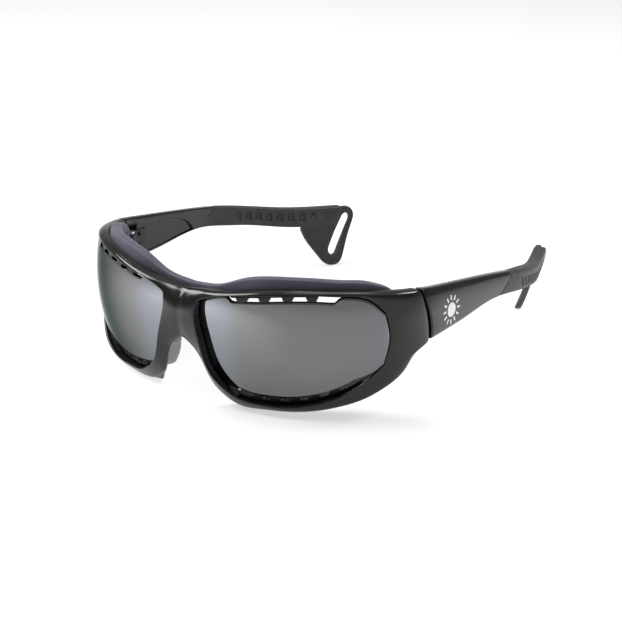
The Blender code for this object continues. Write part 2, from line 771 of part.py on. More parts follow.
def build_screw(side, name, u, w, z, parent):
    """A low screw head that faces inwards from the leaf."""
    head = bmesh.new()
    bmesh.ops.create_cone(
        head, cap_ends=True, segments=12, radius1=SCREW_RADIUS, radius2=SCREW_RADIUS * 0.8, depth=0.5
    )
    outer, inner = bend([(u * side, w, z), (u * side, w - 1.0, z)])
    facing = Vector(inner - outer)
    turn = Vector((0.0, 0.0, 1.0)).rotation_difference(facing).to_matrix()
    bmesh.ops.rotate(head, verts=head.verts, matrix=turn, cent=(0.0, 0.0, 0.0))
    bmesh.ops.translate(head, vec=outer, verts=head.verts)
    new_object(mirrored(name, side), head, "steel", parent)


def build_hinge(side, parent):
    """Two leaves with interlocking knuckles, the pin and the four leaf screws."""
    x, y = HINGE_X * side, HINGE_Y
    pitch = KNUCKLE_HEIGHT + KNUCKLE_GAP
    bore = bmesh.new()
    add_cylinder(bore, (x, y, HINGE_Z), PIN_RADIUS + 0.3, 30.0)
    bore = new_object(mirrored("hinge_bore", side), bore)
    leaf_w = -LEAF_DEPTH
    front_plate = (*FRONT_LEAF_U, leaf_w)
    temple_plate = (*TEMPLE_LEAF_U, leaf_w)
    ends = (HINGE_Z - pitch, HINGE_Z + pitch)
    build_leaf(side, "hinge_leaf_front", front_plate, ends, None, bore)
    build_leaf(side, "hinge_leaf_temple", temple_plate, (HINGE_Z,), parent, bore)

    pin = bmesh.new()
    length = 3 * KNUCKLE_HEIGHT + 2 * KNUCKLE_GAP
    add_cylinder(pin, (x, y, HINGE_Z + 0.25), PIN_RADIUS, length + 0.5)
    pin = new_object(mirrored("hinge_pin", side), pin, "steel")
    head = bmesh.new()
    add_cylinder(head, (x, y, HINGE_Z + length / 2 + 0.3 + 0.4), PIN_RADIUS * 2, 0.8)
    boolean(pin, new_object(mirrored("pin_head", side), head), "UNION")

    proud = LEAF_THICKNESS + 0.55
    for level, z in (("upper", HINGE_Z + SCREW_RISE), ("lower", HINGE_Z - SCREW_RISE)):
        build_screw(side, f"front_screw_{level}", FRONT_SCREW_U, leaf_w - proud, z, None)
        build_screw(side, f"temple_screw_{level}", TEMPLE_SCREW_U, leaf_w - proud, z, parent)


def build_temple(side):
    axis = bpy.data.objects.new(mirrored("hinge_axis", side), None)
    axis.location = (HINGE_X * side * MM, HINGE_Y * MM, HINGE_Z * MM)
    PARTS.objects.link(axis)
    bpy.context.view_layer.update()
    pocket = build_core(side, None, 0.3, "core_pocket")
    build_core(side, axis)
    build_arm(side, axis, pocket)
    build_tip(side, axis, pocket)
    build_hinge(side, axis)


def build():
    build_front_frame()
    build_gasket()
    for side in (1, -1):
        build_lens(side)
        build_vents(side)
        build_nose_pad(side)
        build_temple(side)


build()
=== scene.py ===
"""Visual model of the glacier glasses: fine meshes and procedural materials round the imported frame.

The visible pieces are drawn unrolled, like the solids they stand for, and bent onto the same plan
curve. A place is (u, w, z) in millimetres: u runs along the plan curve from the middle of the
bridge, w stands out from it and z is the height above the table. Objects are in metres.
"""

import math

import bmesh
import bpy
import numpy as np
from mathutils import Matrix, Vector


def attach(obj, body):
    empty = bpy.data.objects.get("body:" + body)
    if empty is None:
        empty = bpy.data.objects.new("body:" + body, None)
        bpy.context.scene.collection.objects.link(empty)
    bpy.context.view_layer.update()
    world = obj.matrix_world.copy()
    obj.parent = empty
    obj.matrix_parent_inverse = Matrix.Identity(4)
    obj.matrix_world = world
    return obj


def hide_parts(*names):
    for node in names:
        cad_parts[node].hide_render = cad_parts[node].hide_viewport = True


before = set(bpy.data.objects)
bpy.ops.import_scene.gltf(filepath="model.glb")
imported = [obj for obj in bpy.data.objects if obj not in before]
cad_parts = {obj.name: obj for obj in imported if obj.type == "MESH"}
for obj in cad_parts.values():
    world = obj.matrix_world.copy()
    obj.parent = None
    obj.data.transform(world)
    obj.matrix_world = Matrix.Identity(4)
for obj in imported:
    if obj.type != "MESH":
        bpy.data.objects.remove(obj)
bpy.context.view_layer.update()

MM = 0.001
# Plan curve: the radii of the bridge, the lenses, the outer corners and the ear bends
FRONT_Y = -85.2
BRIDGE_RADIUS = 240.0
LENS_RADIUS = 70.3
CORNER_RADIUS = 42.0
EAR_RADIUS = 115.0
PLAN_STEP = 0.1
PLAN_LENGTH = 240.0

# Every piece is also crowned from top to bottom
CROWN_RADIUS = 70.4
CROWN_HEIGHT = 29.3

CLEARANCE = 0.35
LENS_THICKNESS = 1.8
LENS_RECESS = 2.4
RECESS_GAIN = 1.3
LENS_OUTER_U = 66.0
LEDGE = 1.4
RIM_SOLE = 2.7

# Vent openings: the lens stops short of the frame over these lengths of u
UPPER_VENT = (17.5, 59.0)
UPPER_VENT_GAP = 2.2
UPPER_VENT_FADE = 2.5
LOWER_VENT = (15.5, 72.5)
LOWER_VENT_GAP = 2.9
LOWER_VENT_FADE = 8.0
UPPER_TEETH = 4
UPPER_TOOTH_PITCH = 8.0
LOWER_RIBS = 5
LOWER_RIB_PITCH = 7.0
FIRST_TOOTH_U = 25.0
FIRST_RIB_U = 29.0
TOOTH_WIDTH = 2.8
RIB_WIDTH = 3.0
TOOTH_SLOPE = 0.75
UPPER_STRIP = (21.0, 53.0)
LOWER_STRIP = (21.5, 67.0)

# A strip is this share of its full height between its teeth, and lies between these two levels
UPPER_FOOT = 0.16
UPPER_LEVELS = (-0.1, -2.6)
LOWER_FOOT = 0.5
LOWER_LEVELS = (-1.2, -4.6)

# Temples
SPLIT_TOP_U = 89.0
SPLIT_BOTTOM_U = 93.0
ARM_THICKNESS = 4.4
TIP_THICKNESS = 5.0
JOINT_TOP_U = 147.5
JOINT_BOTTOM_U = 137.5
GRIP_COUNT = 9
GRIP_PITCH = 5.75
GRIP_START_U = 160.5

# How finely curves are drawn
FINE_POINTS = 600
CORNER_POINTS = 24
FRAME_DENSITY = 2


def smooth(t):
    t = np.clip(t, 0.0, 1.0)
    return t * t * (3.0 - 2.0 * t)


def plan_curve():
    """The plan curve's turned angle, x and y at each step of u. Each bend fades in over a few mm."""
    u = np.arange(0.0, PLAN_LENGTH, PLAN_STEP)
    # Where each bend starts and is complete, and by how much it changes the curvature
    changes = (
        (8.0, 16.5, 1 / LENS_RADIUS - 1 / BRIDGE_RADIUS),
        (62.0, 70.0, 1 / CORNER_RADIUS - 1 / LENS_RADIUS),
        (93.0, 101.0, -1 / CORNER_RADIUS),
        (134.0, 146.0, 1 / EAR_RADIUS),
        (179.0, 191.0, -1 / EAR_RADIUS),
    )
    curvature = 1 / BRIDGE_RADIUS + sum(
        change * smooth((u - start) / (end - start)) for start, end, change in changes
    )

    def running_sum(values):
        steps = (values[1:] + values[:-1]) / 2 * PLAN_STEP
        return np.concatenate([[0.0], np.cumsum(steps)])

    angle = running_sum(curvature)
    return u, angle, running_sum(np.cos(angle)), running_sum(np.sin(angle))


PLAN_U, PLAN_ANGLE, PLAN_X, PLAN_Y = plan_curve()


def bend(points):
    """Bends unrolled points (u, w, z) onto the plan curve, as x, y and z."""
    u, w, z = np.moveaxis(np.asarray(points, float), -1, 0)
    along = np.abs(u)
    angle = np.interp(along, PLAN_U, PLAN_ANGLE)
    out = w - (z - CROWN_HEIGHT) ** 2 / (2 * CROWN_RADIUS)
    x = np.interp(along, PLAN_U, PLAN_X) + np.sin(angle) * out
    y = np.interp(along, PLAN_U, PLAN_Y) - np.cos(angle) * out
    return np.stack([np.where(u < 0, -x, x), FRONT_Y + y, z], axis=-1)


def hermite(knots, values, places):
    """A smooth curve through the values at the knots, read off at the places."""
    knots, values = np.asarray(knots, float), np.asarray(values, float)
    slopes = np.gradient(values, knots, axis=0)
    i = np.clip(np.searchsorted(knots, places, side="right") - 1, 0, len(knots) - 2)
    span = (knots[i + 1] - knots[i])[:, None]
    t = (places - knots[i])[:, None] / span
    rise, fall = t * t * (3.0 - 2.0 * t), t * (1.0 - t)
    bow = slopes[i] * (1.0 - t) - slopes[i + 1] * t
    return values[i] * (1.0 - rise) + values[i + 1] * rise + bow * fall * span


def evenly(path, count, closed=False):
    """Points spread evenly along a fine path, by their first two coordinates."""
    if closed:
        path = np.concatenate([path, path[:1]])
    steps = np.linalg.norm(np.diff(path[:, :2], axis=0), axis=1)
    length = np.concatenate([[0.0], np.cumsum(steps)])
    places = np.linspace(0.0, length[-1], count + closed)[:count]
    return np.stack([np.interp(places, length, column) for column in path.T], axis=-1)


def curve(points, count):
    """Evenly spread points on a smooth curve through the given ones."""
    points = np.asarray(points, float)
    steps = np.linalg.norm(np.diff(points[:, :2], axis=0), axis=1)
    knots = np.concatenate([[0.0], np.cumsum(steps)])
    return evenly(hermite(knots, points, np.linspace(0.0, knots[-1], FINE_POINTS)), count)


def rounded_polygon(corners, count):
    """Evenly spread points on a closed clockwise polygon of (u, z, radius) corners."""
    path = []
    for i, (u, z, radius) in enumerate(corners):
        corner = np.array([u, z])
        before = np.array(corners[i - 1][:2]) - corner
        after = np.array(corners[(i + 1) % len(corners)][:2]) - corner
        before /= np.linalg.norm(before)
        after /= np.linalg.norm(after)
        half = math.acos(float(np.clip(before @ after, -1.0, 1.0))) / 2
        middle = (before + after) / np.linalg.norm(before + after)
        centre = corner + middle * radius / math.sin(half)
        sideways = (after - before) / np.linalg.norm(after - before)
        for turn in np.linspace(half - math.pi / 2, math.pi / 2 - half, CORNER_POINTS):
            path.append(centre + radius * (sideways * math.sin(turn) - middle * math.cos(turn)))
    return evenly(np.array(path), count, closed=True)


def outward(outline):
    """Unit normals of a closed (u, z) outline that runs clockwise, pointing out of it."""
    step = np.roll(outline, -1, axis=0) - np.roll(outline, 1, axis=0)
    normal = np.stack([-step[:, 1], step[:, 0]], axis=-1)
    return normal / np.linalg.norm(normal, axis=1, keepdims=True)


# ---- shapes of the front


def split_u(share):
    """u of the split between front and temple, from its bottom end (share 0) to its top end (1)."""
    return SPLIT_BOTTOM_U + (SPLIT_TOP_U - SPLIT_BOTTOM_U) * share**1.5


# The opening of the frame and its outer outline, in four runs round the left lens as (u, z)
TOP_OPENING = ((7.5, 37.5), (11.0, 39.0), (30.0, 42.5), (54.0, 44.0), (69.0, 42.0), (74.0, 37.5))
TOP_OUTLINE = ((0.0, 40.0), (16.0, 42.0), (36.0, 45.0), (58.0, 45.5), (89.0, 43.0))
SIDE_OPENING = ((74.0, 37.5), (75.5, 29.0), (74.0, 20.0))
SIDE_OUTLINE = tuple((split_u(share), 24.5 + 18.5 * share) for share in (1.0, 0.5, 0.0))
LOW_OPENING = ((74.0, 20.0), (66.0, 13.0), (52.0, 6.5), (35.0, 4.0), (21.0, 5.5), (14.0, 11.0),
               (8.0, 27.5))
LOW_OUTLINE = ((93.0, 24.5), (86.5, 21.5), (82.5, 15.5), (72.0, 9.0), (56.0, 4.0), (35.0, 1.5),
               (19.0, 1.5), (13.5, 5.0), (5.0, 19.5), (0.0, 23.0))
BRIDGE_OPENING = ((8.0, 27.5), (7.0, 34.0), (7.5, 37.5))
BRIDGE_OUTLINE = ((0.0, 23.0), (0.0, 40.0))

# How far the front stands out at the opening and at the outline, and how deep it is, at the same
# evenly spaced places along each run.
TOP_RELIEF = ((0.4, 0.2, 5.6), (0.7, 0.3, 3.2), (0.6, 0.3, 2.8), (0.0, 0.0, 4.4))
SIDE_RELIEF = ((0.0, 0.0, 4.4), (-0.1, 0.0, 4.4), (-0.2, 0.0, 4.4), (-0.3, -0.1, 4.4))
LOW_RELIEF = ((-0.3, -0.1, 4.4), (0.6, 0.0, 4.4), (2.0, 1.4, 4.4), (2.0, 1.6, 4.4),
              (1.2, 0.2, 4.2), (1.3, -0.8, 2.6), (0.9, -1.0, 2.8))
BRIDGE_RELIEF = ((0.9, -1.0, 2.8), (0.7, 0.5, 5.6), (0.5, 0.8, 5.6), (0.4, 0.2, 5.6))

# Each run with the number of its coarse stations. FRAME_DENSITY divides the steps between them.
RUNS = (
    (TOP_OPENING, TOP_OUTLINE, TOP_RELIEF, 26),
    (SIDE_OPENING, SIDE_OUTLINE, SIDE_RELIEF, 6),
    (LOW_OPENING, LOW_OUTLINE, LOW_RELIEF, 34),
    (BRIDGE_OPENING, BRIDGE_OUTLINE, BRIDGE_RELIEF, 5),
)


def frame_stations():
    """Opening, outline and relief at each station round the lens, from the bridge's top outwards."""
    opening, outline, relief, on_bridge = [], [], [], []
    for run, (inner, outer, heights, coarse) in enumerate(RUNS):
        count = (coarse - 1) * FRAME_DENSITY + 1
        opening.append(curve(inner, count)[:-1])
        outline.append(curve(outer, count)[:-1])
        places = np.linspace(0.0, len(heights) - 1, count)
        relief.append(hermite(range(len(heights)), heights, places)[:-1])
        inside = np.arange(count - 1) > 0
        on_bridge.append(inside & (run == len(RUNS) - 1))
    return [np.concatenate(part) for part in (opening, outline, relief, on_bridge)]


OPENING, OUTLINE, RELIEF, ON_BRIDGE = frame_stations()
OPENING_NORMAL = outward(OPENING)


def fade(u, span, width):
    """0 outside the span and 1 inside it, rising over this width from each end."""
    return smooth((u - span[0]) / width) * smooth((span[1] - u) / width)


def vent_gap():
    """How far the lens stops short of the opening at each station."""
    above = OPENING[:, 1] > CROWN_HEIGHT
    upper = fade(OPENING[:, 0], UPPER_VENT, UPPER_VENT_FADE) * above
    lower = fade(OPENING[:, 0], LOWER_VENT, LOWER_VENT_FADE) * ~above
    return (
        CLEARANCE
        + (UPPER_VENT_GAP - CLEARANCE) * upper
        + (LOWER_VENT_GAP - CLEARANCE) * lower
    )


GAP = vent_gap()


def lens_level(u):
    """The lens's front face: flush at its outer corner and sunk by about LENS_RECESS at the nose."""
    inward = np.clip((LENS_OUTER_U - np.abs(u)) / LENS_OUTER_U, 0.0, 1.0)
    return -LENS_RECESS * inward**2 * RECESS_GAIN


def outline_inward():
    """Directions from the outer outline into the frame. On the bridge they stay on the middle plane."""
    into = OPENING - OUTLINE
    into = into / np.linalg.norm(into, axis=1, keepdims=True)
    at_middle = OUTLINE[:, 0] < 1e-6
    into[at_middle] = (OPENING[at_middle] - OUTLINE[at_middle]) * (0.0, 1.0)
    into[at_middle] /= np.maximum(np.abs(into[at_middle, 1:]), 1e-6)
    into[ON_BRIDGE] = 0.0
    return into


# How far down from the top edge the front rounds back, and how far back, as (u, down, back)
BROW_ROUNDING = ((0.0, 6.0, 2.6), (9.0, 5.0, 2.4), (15.0, 3.2, 1.9), (22.0, 1.9, 1.0), (32.0, 1.2, 0.5),
                 (60.0, 1.2, 0.5), (75.0, 2.2, 0.9), (95.0, 2.2, 0.9))
# It follows a quarter ellipse, cut off just before it turns straight back. On the bridge it follows
# a power instead, which fades out up to BRIDGE_SLOPE_U.
BROW_REACH = 0.98
BRIDGE_SLOPE = 1.7
BRIDGE_SLOPE_U = 14.0
BRIDGE_SLOPE_FADE = 8.0


def brow_drop(place):
    """How far the front is rounded back at (u, z), most at the top edge."""
    u, z = abs(place[0]), place[1]
    if z < CROWN_HEIGHT:
        return 0.0
    table = np.array(BROW_ROUNDING)
    down = np.interp(u, table[:, 0], table[:, 1])
    back = np.interp(u, table[:, 0], table[:, 2])
    top = np.interp(u, *np.array(TOP_OUTLINE).T)
    share = min(1.0, max(0.0, 1.0 - (top - z) / down))
    edge = 1.0 - math.sqrt(1.0 - (BROW_REACH * share) ** 2)
    on_bridge = float(smooth((BRIDGE_SLOPE_U - u) / BRIDGE_SLOPE_FADE))
    return back * (edge + (share**BRIDGE_SLOPE - edge) * on_bridge)


# ---- materials


class Look:
    """A Principled material built up from noise on the object's own coordinates."""

    def __init__(self, name, colour, roughness, metallic=0.0, **fixed):
        self.made = bpy.data.materials.new(name)
        self.made.use_nodes = True
        self.tree = self.made.node_tree
        self.shader = self.tree.nodes["Principled BSDF"]
        self.place = self.tree.nodes.new("ShaderNodeTexCoord").outputs["Object"]
        self.shader.inputs["Base Color"].default_value = (*colour, 1.0)
        self.shader.inputs["Roughness"].default_value = roughness
        self.shader.inputs["Metallic"].default_value = metallic
        self.made.diffuse_color = (*colour, 1.0)
        for socket, value in fixed.items():
            self.shader.inputs[socket.replace("_", " ")].default_value = value

    def node(self, kind, **settings):
        made = self.tree.nodes.new(kind)
        for name, value in settings.items():
            setattr(made, name, value)
        return made

    def link(self, out, into):
        self.tree.links.new(out, into)

    def noise(self, per_mm, detail, stretch=(1.0, 1.0, 1.0)):
        """Noise with about per_mm features to a millimetre, from 0 to 1."""
        scaled = self.node("ShaderNodeMapping")
        scaled.inputs["Scale"].default_value = [per_mm / MM * s for s in stretch]
        self.link(self.place, scaled.inputs["Vector"])
        made = self.node("ShaderNodeTexNoise")
        made.inputs["Scale"].default_value = 1.0
        made.inputs["Detail"].default_value = detail
        self.link(scaled.outputs["Vector"], made.inputs["Vector"])
        return made.outputs["Fac"]

    def remap(self, value, low, high, start=0.3, end=0.7):
        made = self.node("ShaderNodeMapRange")
        for socket, number in zip(made.inputs[1:5], (start, end, low, high)):
            socket.default_value = number
        self.link(value, made.inputs["Value"])
        return made.outputs["Result"]

    def vary_roughness(self, value, low, high):
        self.link(self.remap(value, low, high), self.shader.inputs["Roughness"])

    def mix_base(self, factor, light):
        """Makes the base colour a mix towards light. Returns the socket of its other colour, and the mix."""
        made = self.node("ShaderNodeMix", data_type="RGBA")
        first, second = (s for s in made.inputs if s.type == "RGBA")
        result = next(s for s in made.outputs if s.type == "RGBA")
        second.default_value = (*light, 1.0)
        self.link(factor, made.inputs["Factor"])
        self.link(result, self.shader.inputs["Base Color"])
        return first, result

    def vary_colour(self, value, dark, light):
        first, result = self.mix_base(self.remap(value, 0.0, 1.0), light)
        first.default_value = (*dark, 1.0)
        return result

    def bump(self, *layers):
        """Raises the surface by each (value, height in mm) in turn."""
        last = None
        for value, height in layers:
            made = self.node("ShaderNodeBump")
            made.inputs["Distance"].default_value = height * MM
            made.inputs["Strength"].default_value = 1.0
            self.link(value, made.inputs["Height"])
            if last is not None:
                self.link(last, made.inputs["Normal"])
            last = made.outputs["Normal"]
        self.link(last, self.shader.inputs["Normal"])

    def worn_edges(self, colour_from, light, amount):
        """Mixes a lighter colour in where the surface turns sharply outwards."""
        point = self.node("ShaderNodeNewGeometry").outputs["Pointiness"]
        first, _ = self.mix_base(self.remap(point, 0.0, amount, 0.52, 0.62), light)
        self.link(colour_from, first)


def gloss_black(name, low=0.12, high=0.19):
    """Polished black nylon: faint flow marks, fine polishing haze and a very slight orange peel."""
    look = Look(name, (0.006, 0.006, 0.006), low, IOR=1.42)
    flow = look.noise(0.06, 2.0, (1.0, 1.0, 0.4))
    colour = look.vary_colour(flow, (0.004, 0.004, 0.004), (0.008, 0.008, 0.0078))
    look.worn_edges(colour, (0.020, 0.020, 0.020), 0.35)
    look.vary_roughness(look.noise(0.5, 4.0), low, high)
    look.bump((look.noise(0.25, 2.0), 0.004), (look.noise(6.0, 2.0), 0.0008))
    return look.made


def rubber(name, dark, light, roughness, grain=3.2, height=0.018):
    """Moulded elastomer: a fine pebble grain, cloudy colour and rubbed edges."""
    look = Look(name, light, roughness, Specular_IOR_Level=0.35)
    colour = look.vary_colour(look.noise(0.16, 4.0), dark, light)
    rubbed = tuple(min(1.0, c * 1.6 + 0.01) for c in light)
    look.worn_edges(colour, rubbed, 0.5)
    look.vary_roughness(look.noise(0.8, 3.0), roughness - 0.08, roughness + 0.08)
    look.bump((look.noise(0.5, 3.0), height), (look.noise(grain, 2.0), height * 0.6))
    return look.made


def mirror_lens(name):
    """A silver mirror coat on a dark lens, with a painted reflection that makes it bluer towards both ends,
    and a soft haze.
    """
    look = Look(name, (0.15, 0.15, 0.152), 0.05, 1.0)
    look.shader.inputs["Specular Tint"].default_value = (0.30, 0.34, 0.32, 1.0)
    # Painted reflection: a ramp across the lens tints its base colour bluer near its inner and outer ends.
    split = look.node("ShaderNodeSeparateXYZ")
    look.link(look.place, split.inputs["Vector"])
    across = look.node("ShaderNodeMath", operation="ABSOLUTE")
    look.link(split.outputs["X"], across.inputs[0])
    ramp = look.node("ShaderNodeValToRGB")
    look.link(look.remap(across.outputs[0], 0.0, 1.0, 0.007, 0.069), ramp.inputs["Fac"])
    stops = ramp.color_ramp.elements
    stops[0].position = 0.0
    stops[0].color = (0.19, 0.20, 0.225, 1.0)
    stops[1].position = 1.0
    stops[1].color = (0.15, 0.165, 0.19, 1.0)
    for where, tone in (
        (0.16, (0.175, 0.185, 0.205)),
        (0.27, (0.160, 0.160, 0.160)),
        (0.84, (0.160, 0.159, 0.162)),
    ):
        stop = stops.new(where)
        stop.color = (*tone, 1.0)
    look.link(ramp.outputs["Color"], look.shader.inputs["Base Color"])
    look.vary_roughness(look.noise(0.12, 3.0), 0.04, 0.075)
    look.bump((look.noise(0.04, 1.0), 0.002))
    return look.made


def foam_skin(name):
    """The gasket's soft skin: dark violet grey, fine pores, a dusty sheen."""
    look = Look(
        name, (0.060, 0.053, 0.078), 0.62, Specular_IOR_Level=0.3, Sheen_Weight=0.25, Sheen_Roughness=0.5
    )
    look.shader.inputs["Sheen Tint"].default_value = (0.62, 0.60, 0.72, 1.0)
    colour = look.vary_colour(look.noise(0.10, 4.0), (0.052, 0.046, 0.068), (0.070, 0.063, 0.091))
    look.worn_edges(colour, (0.095, 0.088, 0.118), 0.45)
    look.vary_roughness(look.noise(1.2, 3.0), 0.54, 0.70)
    look.bump((look.noise(0.35, 3.0), 0.03), (look.noise(4.5, 2.0), 0.012))
    return look.made


def metal(name, colour, roughness):
    """Turned or stamped steel with fine marks along it."""
    look = Look(name, colour, roughness, 1.0)
    marks = look.noise(2.0, 2.0, (1.0, 1.0, 12.0))
    dim = tuple(c * 0.8 for c in colour)
    look.vary_colour(marks, dim, colour)
    look.vary_roughness(marks, roughness - 0.06, roughness + 0.08)
    look.bump((marks, 0.003))
    return look.made


def white_ink(name):
    """White print: slightly uneven, with a fine grain."""
    look = Look(name, (0.80, 0.80, 0.79), 0.45)
    look.vary_colour(look.noise(1.6, 3.0), (0.74, 0.74, 0.73), (0.83, 0.83, 0.82))
    look.bump((look.noise(5.0, 2.0), 0.004))
    return look.made


BLACK = gloss_black("polished_black_nylon")
DULL_BLACK = gloss_black("satin_black_nylon", 0.26, 0.36)
LENS = mirror_lens("silver_mirror_lens_painted_reflection")
FOAM = foam_skin("violet_grey_gasket")
TOOTH_RUBBER = rubber("vent_rubber", (0.010, 0.010, 0.011), (0.019, 0.019, 0.020), 0.5)
TIP_RUBBER = rubber("tip_rubber", (0.020, 0.020, 0.021), (0.032, 0.032, 0.033), 0.52, 2.4, 0.022)
PAD_RUBBER = rubber("pad_rubber", (0.17, 0.17, 0.172), (0.24, 0.24, 0.243), 0.5, 2.8, 0.02)
STEEL = metal("pin_steel", (0.55, 0.55, 0.56), 0.28)
BLACK_STEEL = metal("black_coated_steel", (0.045, 0.045, 0.047), 0.34)
PRINT = white_ink("white_print")


# ---- pieces


def piece(name, made, look, body, replaces, smooth_angle=40, levels=0):
    """Makes a visible piece from a bmesh in millimetres and puts it on its body."""
    mesh = bpy.data.meshes.new(name)
    bmesh.ops.scale(made, vec=(MM, MM, MM), verts=made.verts)
    bmesh.ops.recalc_face_normals(made, faces=made.faces)
    made.to_mesh(mesh)
    made.free()
    mesh.materials.append(look)
    mesh.shade_smooth()
    mesh.set_sharp_from_angle(angle=math.radians(smooth_angle))
    obj = bpy.data.objects.new(name, mesh)
    bpy.context.scene.collection.objects.link(obj)
    if levels:
        divided = obj.modifiers.new("smooth", "SUBSURF")
        divided.levels = levels
        divided.render_levels = levels
    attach(obj, body)
    if replaces:
        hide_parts(*replaces)
    return obj


def round_edges(obj, width, segments, angle):
    bevel = obj.modifiers.new("rounded", "BEVEL")
    bevel.width = width * MM
    bevel.segments = segments
    bevel.limit_method = "ANGLE"
    bevel.angle_limit = math.radians(angle)


def around(count):
    """Each index of a loop with the next one."""
    return [(i, (i + 1) % count) for i in range(count)]


def add_cap(made, row):
    """Closes a section with a ladder of faces between its first half and its second half."""
    last = len(row) - 1
    for i in range(len(row) // 2 - 1):
        made.faces.new((row[i], row[i + 1], row[last - i - 1], row[last - i]))


def loft(sections, ring=False):
    """A skin over closed sections of (u, w, z) points. A ring joins its last section to its first."""
    made = bmesh.new()
    rows = [[made.verts.new(point) for point in section] for section in bend(sections)]
    pairs = list(zip(rows, rows[1:]))
    if ring:
        pairs.append((rows[-1], rows[0]))
    else:
        add_cap(made, rows[0])
        add_cap(made, rows[-1])
    for row, other in pairs:
        for i, j in around(len(row)):
            made.faces.new((row[i], other[i], other[j], row[j]))
    return made


def points_of(section):
    """The points (u, w, z) of a section given as (place, w), where a place is (u, z)."""
    return [(place[0], w, place[1]) for place, w in section]


def sided(name, side):
    return f"{name}_left" if side > 0 else f"{name}_right"


def flipped(sections, side):
    """The same sections on the chosen side of the face."""
    return np.asarray(sections, float) * (side, 1.0, 1.0)


def temple(side):
    return "temple_left" if side > 0 else "temple_right"


# ---- front

# The lens's ledge fades out to nothing where the lens stops this far short of the opening. It is
# this thick wherever it is wider than LEAST_LEDGE.
LEDGE_END_GAP = 1.2
LEDGE_FADE = 0.8
LEDGE_THICKNESS = 1.0
LEAST_LEDGE = 0.2

# Below this height the rear of the rim runs out to a sole
SOLE_TOP = 5.0
SOLE_FADE = 4.0

# The points of a section that the brow rounds back, and the thickness that it leaves
FACE_POINTS = range(4, 17)
LEAST_THICKNESS = 0.95


def front_shell():
    """The whole front: a rounded closed section at each station, mirrored and joined on the bridge."""
    into = outline_inward()
    ledge = LEDGE * smooth((LEDGE_END_GAP - GAP) / LEDGE_FADE)
    sections = []
    for a, b, (out_a, out_b, depth), n, m, lip in zip(
        OPENING, OUTLINE, RELIEF, OPENING_NORMAL, into, ledge
    ):
        rest = lens_level(a[0]) - LENS_THICKNESS - CLEARANCE
        sole = b - m * RIM_SOLE * smooth((SOLE_TOP - b[1]) / SOLE_FADE)
        sole = np.maximum(sole, (-math.inf, 0.0))
        back = -max(depth, -rest + LEDGE_THICKNESS * (lip > LEAST_LEDGE))

        def between(f):
            return a + (b - a) * f

        def face(f):
            return out_a + (out_b - out_a) * f

        section = (
            # The ledge behind the lens
            (a - n * lip, back + 0.3),
            (a - n * lip, rest - 0.35),
            (a - n * lip * 0.8, rest - 0.2),
            (a - n * 0.05, rest - 0.1),
            # The wall of the opening and its rounded front edge
            (a, rest + 0.2),
            (a, (rest + out_a) / 2),
            (a, out_a - 0.55),
            (a + n * 0.07, out_a - 0.22),
            (a + n * 0.30, out_a - 0.03),
            # The crowned face
            (between(0.14) + n * 0.1, face(0.14) + 0.09),
            (between(0.32), face(0.32) + 0.18),
            (between(0.5), face(0.5) + 0.22),
            (between(0.68), face(0.68) + 0.18),
            (between(0.83), face(0.83) + 0.06),
            # The outer edge
            (b + m * 0.62, out_b - 0.16),
            (b + m * 0.24, out_b - 0.44),
            (b, out_b - 0.95),
            (b * 0.6 + sole * 0.4, out_b * 0.6 - depth * 0.4 - 0.4),
            # The sole and the rear face
            (sole, -depth + 0.6),
            (sole + m * 0.12, -depth + 0.15),
            (sole + m * 0.5, -depth),
            (between(0.7), back * 0.3 - depth * 0.7),
            (between(0.35), back * 0.65 - depth * 0.35),
            (a - n * lip * 0.6, back),
        )
        rounded = []
        for i, (place, w) in enumerate(section):
            if i in FACE_POINTS:
                w = max(w - brow_drop(place), LEAST_THICKNESS - depth)
            rounded.append((place, w))
        sections.append(points_of(rounded))
    made = loft(sections, ring=True)
    on_middle = [f for f in made.faces if all(abs(v.co.x) < 1e-4 for v in f.verts)]
    bmesh.ops.delete(made, geom=on_middle, context="FACES")
    copied = bmesh.ops.duplicate(made, geom=made.verts[:] + made.edges[:] + made.faces[:])["geom"]
    other = [item for item in copied if isinstance(item, bmesh.types.BMVert)]
    bmesh.ops.scale(made, vec=(-1.0, 1.0, 1.0), verts=other)
    bmesh.ops.reverse_faces(made, faces=[f for f in copied if isinstance(f, bmesh.types.BMFace)])
    bmesh.ops.remove_doubles(made, verts=made.verts, dist=1e-3)
    return made


def build_front():
    piece("front_shell", front_shell(), BLACK, "front", ["front_frame"], 180, 1)


LENS_MIDDLE = (42.0, 25.0)
# A face's outer rings, as (share of the way from middle to edge, level), then the first and the last
# share of the even rings inside them
LENS_RINGS = ((1.0, -0.3), (0.9965, -0.07), (0.990, 0.0), (0.96, 0.0), (0.9, 0.0))
INNER_RINGS = (0.82, 0.06)
INNER_RING_COUNT = 12


